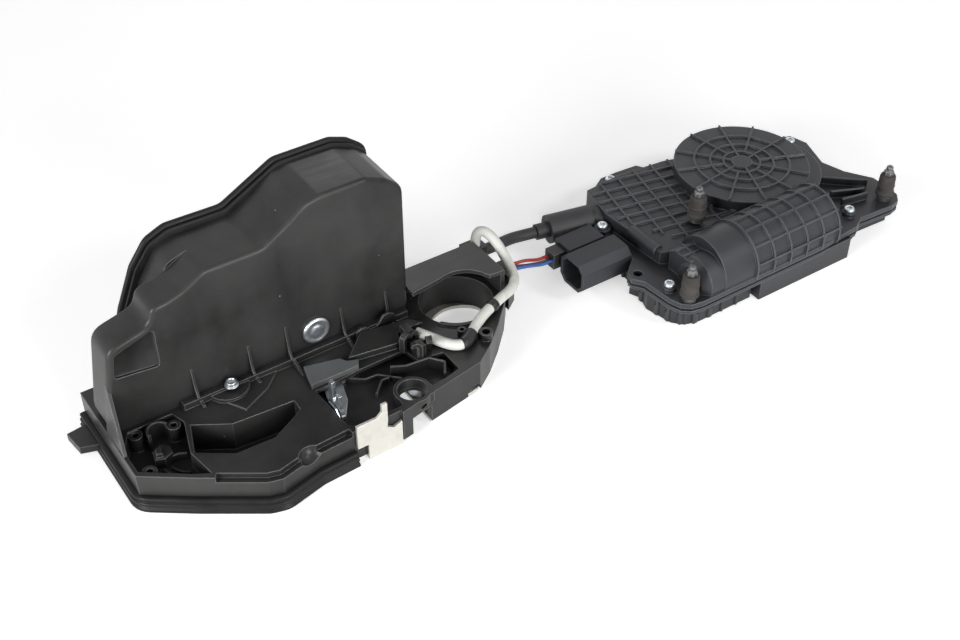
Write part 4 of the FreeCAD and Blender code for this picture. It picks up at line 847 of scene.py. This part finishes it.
def wall_profile(width, low, high, ease=0.4):
    """Section of a thin wall with an eased top, as (outwards, level)."""
    half = width / 2.0
    return ((-half, low), (half, low), (half, high - ease), (half - ease, high),
            (ease - half, high), (-half, high - ease))


def upright(spot, level):
    """Places a line of (x, y) at a height."""
    return Vector((spot.x, spot.y, level))


def standing(spot, level):
    """Places a line of (x, z) at a depth."""
    return Vector((spot.x, level, spot.y))


def slab(work, outline, low, high, ease=0.6, place=upright):
    """A block with that outline and eased top edges."""
    line = [Vector(point) for point in outline]
    rows = []
    for inset, level in ((0.0, low), (0.0, high - ease), (0.3 * ease, high - 0.3 * ease),
                         (ease, high)):
        row = []
        for number, spot in enumerate(line):
            before = (spot - line[number - 1]).normalized()
            after = (line[(number + 1) % len(line)] - spot).normalized()
            away = Vector((before.y + after.y, -before.x - after.x))
            away *= 1.0 / max(0.3, 1.0 + before.dot(after))
            row.append(work.verts.new(place(spot - away * inset, level) * MM))
        rows.append(row)
    capped(work, rows)


def arc(centre, radius, start, end, steps=14):
    """Points on an arc between two angles in degrees."""
    spots = []
    for step in range(steps + 1):
        angle = math.radians(start + (end - start) * step / steps)
        spots.append((centre[0] + radius * math.cos(angle),
                      centre[1] + radius * math.sin(angle)))
    return spots


def ring(x, y, radius, sides):
    """Corners of a regular polygon."""
    return [(x + radius * math.cos(turn), y + radius * math.sin(turn))
            for turn in (math.tau * number / sides for number in range(sides))]


def across(x):
    """Places an outline of (y, z) as a plate that is thick along x."""
    return lambda spot, level: Vector((x + level, spot.x, spot.y))


def along_wall(y):
    """Places an outline of (x, z) as a plate that is thick towards the front."""
    return lambda spot, level: Vector((spot.x, y - level, spot.y))


def less(mesh, cutter):
    """The mesh with a second mesh taken out of it."""
    body, tool = placed("body", mesh), placed("tool", cutter)
    cut = body.modifiers.new("cut", "BOOLEAN")
    cut.operation, cut.solver, cut.object = "DIFFERENCE", "EXACT", tool
    graph = bpy.context.evaluated_depsgraph_get()
    result = bpy.data.meshes.new_from_object(body.evaluated_get(graph), depsgraph=graph)
    for item in (body, tool):
        bpy.data.objects.remove(item)
    return result


class LATCH_OT_cover(bpy.types.Operator):
    """Moulds the tall cover with its rounded edges, its recessed panel, fins and webs"""
    bl_idname = "latch.cover"
    bl_label = "Tall cover"

    FRONT = ((-188.0, 17.4), (-27.0, 17.4), (-27.0, 96.0), (-35.5, 103.0), (-46.5, 107.6),
             (-71.0, 107.8), (-79.0, 106.2), (-88.5, 99.2), (-102.0, 91.0), (-131.0, 91.0),
             (-142.5, 84.4), (-150.0, 82.0), (-157.0, 81.2), (-160.0, 72.6), (-180.5, 67.4))
    REAR_LEFT = {0: (-166.0, 17.4), 10: (-140.5, 88.0), 11: (-146.0, 80.0), 12: (-150.5, 73.0),
                 13: (-155.0, 61.0), 14: (-160.0, 47.0)}
    PANEL = ((-179.8, 51.0), (-158.0, 48.5), (-158.0, 70.4), (-177.8, 63.6))
    WEBS = ((-144.0, 15.0), (-115.0, 15.0), (-95.0, 17.0), (-65.0, 15.0), (-40.0, 14.0))
    FACE, BEND, BACK, EDGE = 9.0, 27.0, 44.0, 2.3

    def execute(self, context):
        mesh = less(mesh_from("cover_shell", self.shell), mesh_from("panel_cutter", self.panel))
        shade(mesh, 32.0)
        piece("cover_shell", mesh, "housing", "latch", "housing_black", "actuator_cover")
        formed("cover_webs", self.webs, 30.0, "housing", "housing_black")
        return {"FINISHED"}

    def shell(self, work):
        rear = [self.REAR_LEFT.get(number, point) for number, point in enumerate(self.FRONT)]
        front_line, rear_line = eased(self.FRONT, CORNER, True), eased(rear, CORNER, True)
        steps = [(self.EDGE + 1.2, self.FACE), (self.EDGE + 0.4, self.FACE)]
        steps += [(self.EDGE * (1.0 - math.sin(turn)),
                   self.FACE + self.EDGE * (1.0 - math.cos(turn)))
                  for turn in (math.radians(15.0 * number) for number in range(7))]
        steps += [(0.0, self.BEND)]
        rows = [[work.verts.new(self.at(front_line, number, inset, depth))
                 for number in range(len(front_line))] for inset, depth in steps]
        rows += [[work.verts.new(self.at(rear_line, number, 0.0, depth))
                  for number in range(len(rear_line))]
                 for depth in (self.BEND, self.BACK)]
        skin(work, rows)
        work.faces.new(rows[0])
        work.faces.new(rows[-1][::-1])

    def at(self, line, number, inset, depth):
        return standing(line[number] - outward(line, number, True) * inset, depth) * MM

    def panel(self, work):
        slab(work, eased(self.PANEL, 2.2, True), -1.0, 1.5, 0.3,
             lambda spot, level: standing(spot, self.FACE + level))

    def webs(self, work):
        foot = 23.5
        for x, rise in self.WEBS:
            curve = [(self.FACE - 3.6 * share, foot + 0.4 + rise * (1.0 - share) ** 2.2)
                     for share in (0.0, 0.15, 0.3, 0.5, 0.75, 1.0)]
            slab(work, [(self.FACE - 3.6, foot - 1.0), (self.FACE + 1.5, foot - 1.0),
                        (self.FACE + 1.5, foot + 0.4 + rise), *curve], -0.7, 0.7, 0.3, across(x))
        low, high = ((-188.0, 18.0), (-186.2, 18.0)), ((-181.8, 48.0), (-183.6, 48.0))
        wide = [Vector((x, self.FACE + 3.0, z)) for x, z in low + high]
        thin = [Vector((x, -8.0, z)) for x, z in low + ((-186.1, 20.6), (-187.9, 20.6))]
        rear = [work.verts.new(spot * MM) for spot in wide]
        front = [work.verts.new(spot * MM) for spot in thin]
        work.faces.new(rear)
        work.faces.new(front[::-1])
        for number in range(4):
            after = (number + 1) % 4
            work.faces.new((rear[number], front[number], front[after], rear[after]))


class LATCH_OT_tray_details(bpy.types.Operator):
    """Moulds the ribs, hooks and small supports that stand on the latch's tray"""
    bl_idname = "latch.tray_details"
    bl_label = "Tray details"

    HOOK = ((0.0, 19.5), (0.0, 26.6), (0.5, 28.2), (1.9, 29.2), (3.6, 29.2), (4.9, 28.4),
            (5.3, 27.2), (4.3, 27.0), (3.5, 27.6), (2.4, 27.4), (1.8, 26.2), (1.8, 19.5))
    LIP = ((-60.0, 19.8), (-60.0, 24.0), (-57.0, 25.4), (-54.5, 25.0), (-52.5, 22.8),
           (-48.5, 22.6), (-46.5, 24.6), (-44.5, 27.6), (-41.5, 28.2), (-38.5, 26.6),
           (-37.0, 23.4), (-37.0, 19.8))
    PIT, BAY = 10.5, 14.3

    def execute(self, context):
        walls = (
            (arc((-167.6, 0.6), 5.2, 200.0, 20.0), 1.5, self.PIT, 20.4),
            (arc((-158.0, -14.0), 16.0, 192.0, 250.0), 1.3, self.PIT, 13.2),
            (arc((-158.0, -14.0), 12.2, 196.0, 242.0), 1.1, self.PIT, 12.4),
            (((-161.0, -15.0), (-164.5, -13.2), (-168.0, -12.8)), 1.3, self.PIT, 14.8),
            (((-57.0, -22.5), (-50.5, -26.0), (-38.0, -27.4), (-33.0, -34.0), (-37.5, -41.0)),
             1.2, self.BAY, 20.6),
            (((-84.5, -9.0), (-70.0, -20.5), (-63.5, -21.0), (-55.0, -29.5)), 1.0, self.BAY,
             17.6),
            (((-71.0, -33.0), (-64.0, -26.0), (-60.0, -26.5)), 1.1, self.BAY, 18.2),
        )

        def ribs(work):
            for line, width, low, high in walls:
                is_arc = len(line) >= 8
                line = [Vector(point) for point in line] if is_arc else eased(line, 1.5, False)
                strip(work, line, wall_profile(width, low, high), False, upright)

        def saddle(work):
            slab(work, ((-174.6, -7.4), (-175.8, -13.2), (-171.4, -15.0), (-166.6, -13.0),
                        (-166.2, -8.0), (-169.6, -4.6)), self.PIT, 16.4, 0.8)
            slab(work, ((-173.4, -8.4), (-174.4, -12.4), (-171.8, -13.2), (-170.6, -8.2)),
                 16.0, 18.4, 0.7)

        def hooks(work):
            for x, y, turn in ((-37.0, -14.0, 200.0), (-40.0, -24.5, 160.0), (-34.5, -21.0, 250.0),
                               (-46.5, -16.5, 20.0)):
                seat = (Matrix.Translation((x, y, 0.0))
                        @ Matrix.Rotation(math.radians(turn), 4, "Z"))
                slab(work, self.HOOK, -1.5, 1.5, 0.35,
                     lambda spot, level: seat @ standing(spot, level))

        def lip(work):
            slab(work, self.LIP[::-1], 0.0, 1.3, 0.4, along_wall(5.4))

        def web(work):
            slab(work, ((-36.6, 16.4), (-24.0, 16.4), (-26.5, 19.6), (-33.0, 19.8)), 0.0, 1.0,
                 0.3, across(-93.4))

        for name, build in (("tray_ribs", ribs), ("saddle_block", saddle),
                            ("sleeve_hooks", hooks), ("wall_lip", lip)):
            formed(name, build, 30.0, "housing", "housing_black")
        formed("lever_web", web, 30.0, "zinc", "zinc", body="release_lever")
        return {"FINISHED"}


class LATCH_OT_drive_details(bpy.types.Operator):
    """Moulds the ribs and their feet round the rim of the closing drive"""
    bl_idname = "latch.drive_details"
    bl_label = "Drive details"

    RIM = ((96.3, -4.0), (96.3, -12.0), (94.5, -20.0), (91.5, -34.0), (91.0, -47.0),
           (92.5, -54.0), (96.0, -59.5), (102.5, -63.0), (112.0, -63.4), (121.0, -63.4),
           (131.0, -63.4))
    RIB, FOOT, LOW = 1.1, 2.1, 0.4

    def execute(self, context):
        def ribs(work):
            for x, y in self.RIM:
                slab(work, ring(x, y, self.RIB, 10), self.LOW, 11.6, 0.4)
            for x, y in self.RIM[3:9]:
                slab(work, ring(x + 1.0, y + 1.0, self.FOOT, 14), self.LOW, 6.5, 0.5)
        formed("housing_ribs", ribs, 30.0, "drive", "drive_black")
        return {"FINISHED"}


# Mounts and springs

def bush_rings():
    """A rubber bush with a broad foot, a waist and two fine mould lines."""
    return ((2.4, 21.0), (4.9, 21.0), (5.1, 21.4), (5.1, 23.0), (4.6, 23.4), (4.6, 26.7),
            (4.8, 27.0), (4.8, 27.5), (4.5, 27.8), (4.45, 31.8), (4.2, 33.2), (3.7, 33.9),
            (2.4, 34.0))


def six_sided(radius):
    """Radius function of a hexagon of that half width across its flats."""
    return lambda angle: radius / math.cos((angle % (math.pi / 3.0)) - math.pi / 6.0)


def stud_rings():
    """The stud's foot, its shank in the bush, a hexagonal nut end and a rounded tip."""
    return ((3.8, 18.0), (3.8, 20.6), (3.5, 21.0), (2.4, 21.0), (2.4, 34.0),
            (six_sided(2.5), 34.0), (six_sided(2.5), 36.1), (2.4, 36.6), (1.7, 36.7),
            (1.6, 37.5), (1.9, 37.9), (1.9, 38.7), (1.4, 39.3), (0.6, 39.5))


class LATCH_OT_mounts(bpy.types.Operator):
    """Turns the drive's three studs and their rubber bushes"""
    bl_idname = "latch.mounts"
    bl_label = "Studs and bushes"

    SPOTS = {"front": (98.0, -62.0, 0.0), "middle": (137.0, -21.0, 9.2),
             "right": (247.0, -55.0, 0.0)}

    def execute(self, context):
        for name, spot in self.SPOTS.items():
            for kind, rings, material, slot in (
                    ("bush", bush_rings(), "bush", "bush_rubber"),
                    ("stud", stud_rings(), "stud", "stud_steel")):
                place = Matrix.Translation(Vector(spot) * MM) @ Matrix.Scale(MM, 4)
                formed(kind + "_turned_" + name, lambda work: turned(work, rings, place, 48),
                       28.0, material, slot, kind + "_" + name)
        return {"FINISHED"}


def coil_tree():
    """Geometry nodes that wind a wire: turns, radius, height and thickness are inputs."""
    tree = node_tree("wound_wire", {"Turns": "Float", "Radius": "Float", "Height": "Float",
                                    "Wire": "Float", "Finish": "Material"})
    add = tree.nodes.new
    start = add("NodeGroupInput")
    spiral = add("GeometryNodeCurveSpiral")
    spiral.inputs["Resolution"].default_value = 32
    section = add("GeometryNodeCurvePrimitiveCircle")
    section.inputs["Resolution"].default_value = 10
    wall = add("GeometryNodeCurveToMesh")
    wall.inputs["Fill Caps"].default_value = True
    join(tree, (start.outputs["Turns"], spiral.inputs["Rotations"]),
         (start.outputs["Radius"], spiral.inputs["Start Radius"]),
         (start.outputs["Radius"], spiral.inputs["End Radius"]),
         (start.outputs["Height"], spiral.inputs["Height"]),
         (start.outputs["Wire"], section.inputs["Radius"]),
         (spiral.outputs[0], wall.inputs["Curve"]),
         (section.outputs[0], wall.inputs["Profile Curve"]))
    painted(tree, wall.outputs[0], start.outputs["Finish"])
    return tree


class LATCH_OT_springs(bpy.types.Operator):
    """Winds the return springs round the pins of the catch and the pawl"""
    bl_idname = "latch.springs"
    bl_label = "Springs"

    PITCH, FEWEST_TURNS = 2.2, 2.0

    def execute(self, context):
        wire = context.scene.latch_hardware.spring_wire / 2.0
        tree = coil_tree()
        for node in ("catch_spring", "pawl_spring"):
            low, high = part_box(node)
            name = node.replace("_spring", "_coil")
            seat = placed(name + "_seat", bpy.data.meshes.new(name + "_seat"))
            tall = high.z - low.z - 2.0 * wire
            mesh = made_by(tree, seat, {
                "Turns": max(self.FEWEST_TURNS, round(tall / (self.PITCH * wire))),
                "Radius": (high.x - low.x) / 2.0 - wire, "Height": tall, "Wire": wire,
                "Finish": finish("spring")})
            mesh.transform(Matrix.Translation(((low.x + high.x) / 2.0, (low.y + high.y) / 2.0,
                                               low.z + wire)))
            shade(mesh, 60.0)
            piece(name, mesh, "spring", "latch", "spring_steel", node)
        return {"FINISHED"}


class LATCH_OT_fittings(bpy.types.Operator):
    """Turns the domed button on the tall cover and the ringed screw on the deck"""
    bl_idname = "latch.fittings"
    bl_label = "Button and deck screw"

    BUTTON = ((7.0, 0.0), (7.2, 0.3), (7.2, 1.0), (6.9, 1.4), (6.3, 1.7), (5.4, 1.75),
              (5.1, 1.6), (3.4, 1.62), (3.1, 1.8), (0.8, 1.85))
    DECK_SCREW = ((3.2, 0.0), (3.4, 0.2), (3.35, 0.7), (2.95, 1.0), (2.7, 1.1), (2.7, 2.3),
                  (2.45, 2.75), (1.75, 2.8), (1.5, 2.5), (1.35, 1.4))

    def execute(self, context):
        low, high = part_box("wall_button")
        centre = Vector(((low.x + high.x) / 2.0, high.y, (low.z + high.z) / 2.0))
        self.make("domed_button", self.BUTTON, centre, math.radians(90.0), "wall_button")
        low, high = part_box("deck_screw")
        centre = Vector(((low.x + high.x) / 2.0, (low.y + high.y) / 2.0, low.z))
        self.make("ringed_screw", self.DECK_SCREW, centre, 0.0, "deck_screw")
        return {"FINISHED"}

    def make(self, name, rings, centre, tilt, node):
        place = (Matrix.Translation(centre) @ Matrix.Rotation(tilt, 4, "X")
                 @ Matrix.Scale(MM, 4))
        formed(name, lambda work: turned(work, rings, place, 64), 40.0, "zinc", "zinc", node)


# Panel and registration

class LATCH_PT_panel(bpy.types.Panel):
    """Lists the steps that dress the latch"""
    bl_idname = "LATCH_PT_panel"
    bl_label = "Door Latch"
    bl_space_type = "VIEW_3D"
    bl_region_type = "UI"
    bl_category = "Door Latch"

    def draw(self, context):
        layout = self.layout
        for step in STEPS:
            layout.operator(step.bl_idname)
        for group in ("latch_finish", "latch_cords", "latch_hardware", "latch_stage"):
            holder = getattr(context.scene, group)
            box = layout.box()
            for key in holder.bl_rna.properties.keys():
                if key not in ("rna_type", "name"):
                    box.prop(holder, key)


STEPS = (LATCH_OT_stage, LATCH_OT_finishes, LATCH_OT_sleeve, LATCH_OT_screws, LATCH_OT_seals,
         LATCH_OT_cover, LATCH_OT_tray_details, LATCH_OT_drive_details, LATCH_OT_mounts,
         LATCH_OT_springs, LATCH_OT_fittings)
GROUPS = {"latch_finish": LatchFinish, "latch_cords": CordSizes,
          "latch_hardware": HardwareSizes, "latch_stage": StageLook}
CLASSES = (*GROUPS.values(), *STEPS, LATCH_PT_panel)


def register():
    for item in CLASSES:
        bpy.utils.register_class(item)
    for name, group in GROUPS.items():
        setattr(bpy.types.Scene, name, bpy.props.PointerProperty(type=group))


def unregister():
    for name in GROUPS:
        delattr(bpy.types.Scene, name)
    for item in reversed(CLASSES):
        bpy.utils.unregister_class(item)


def main():
    register()
    for step in STEPS:
        group, action = step.bl_idname.split(".")
        getattr(getattr(bpy.ops, group), action)()


if __name__ == "__main__":
    main()
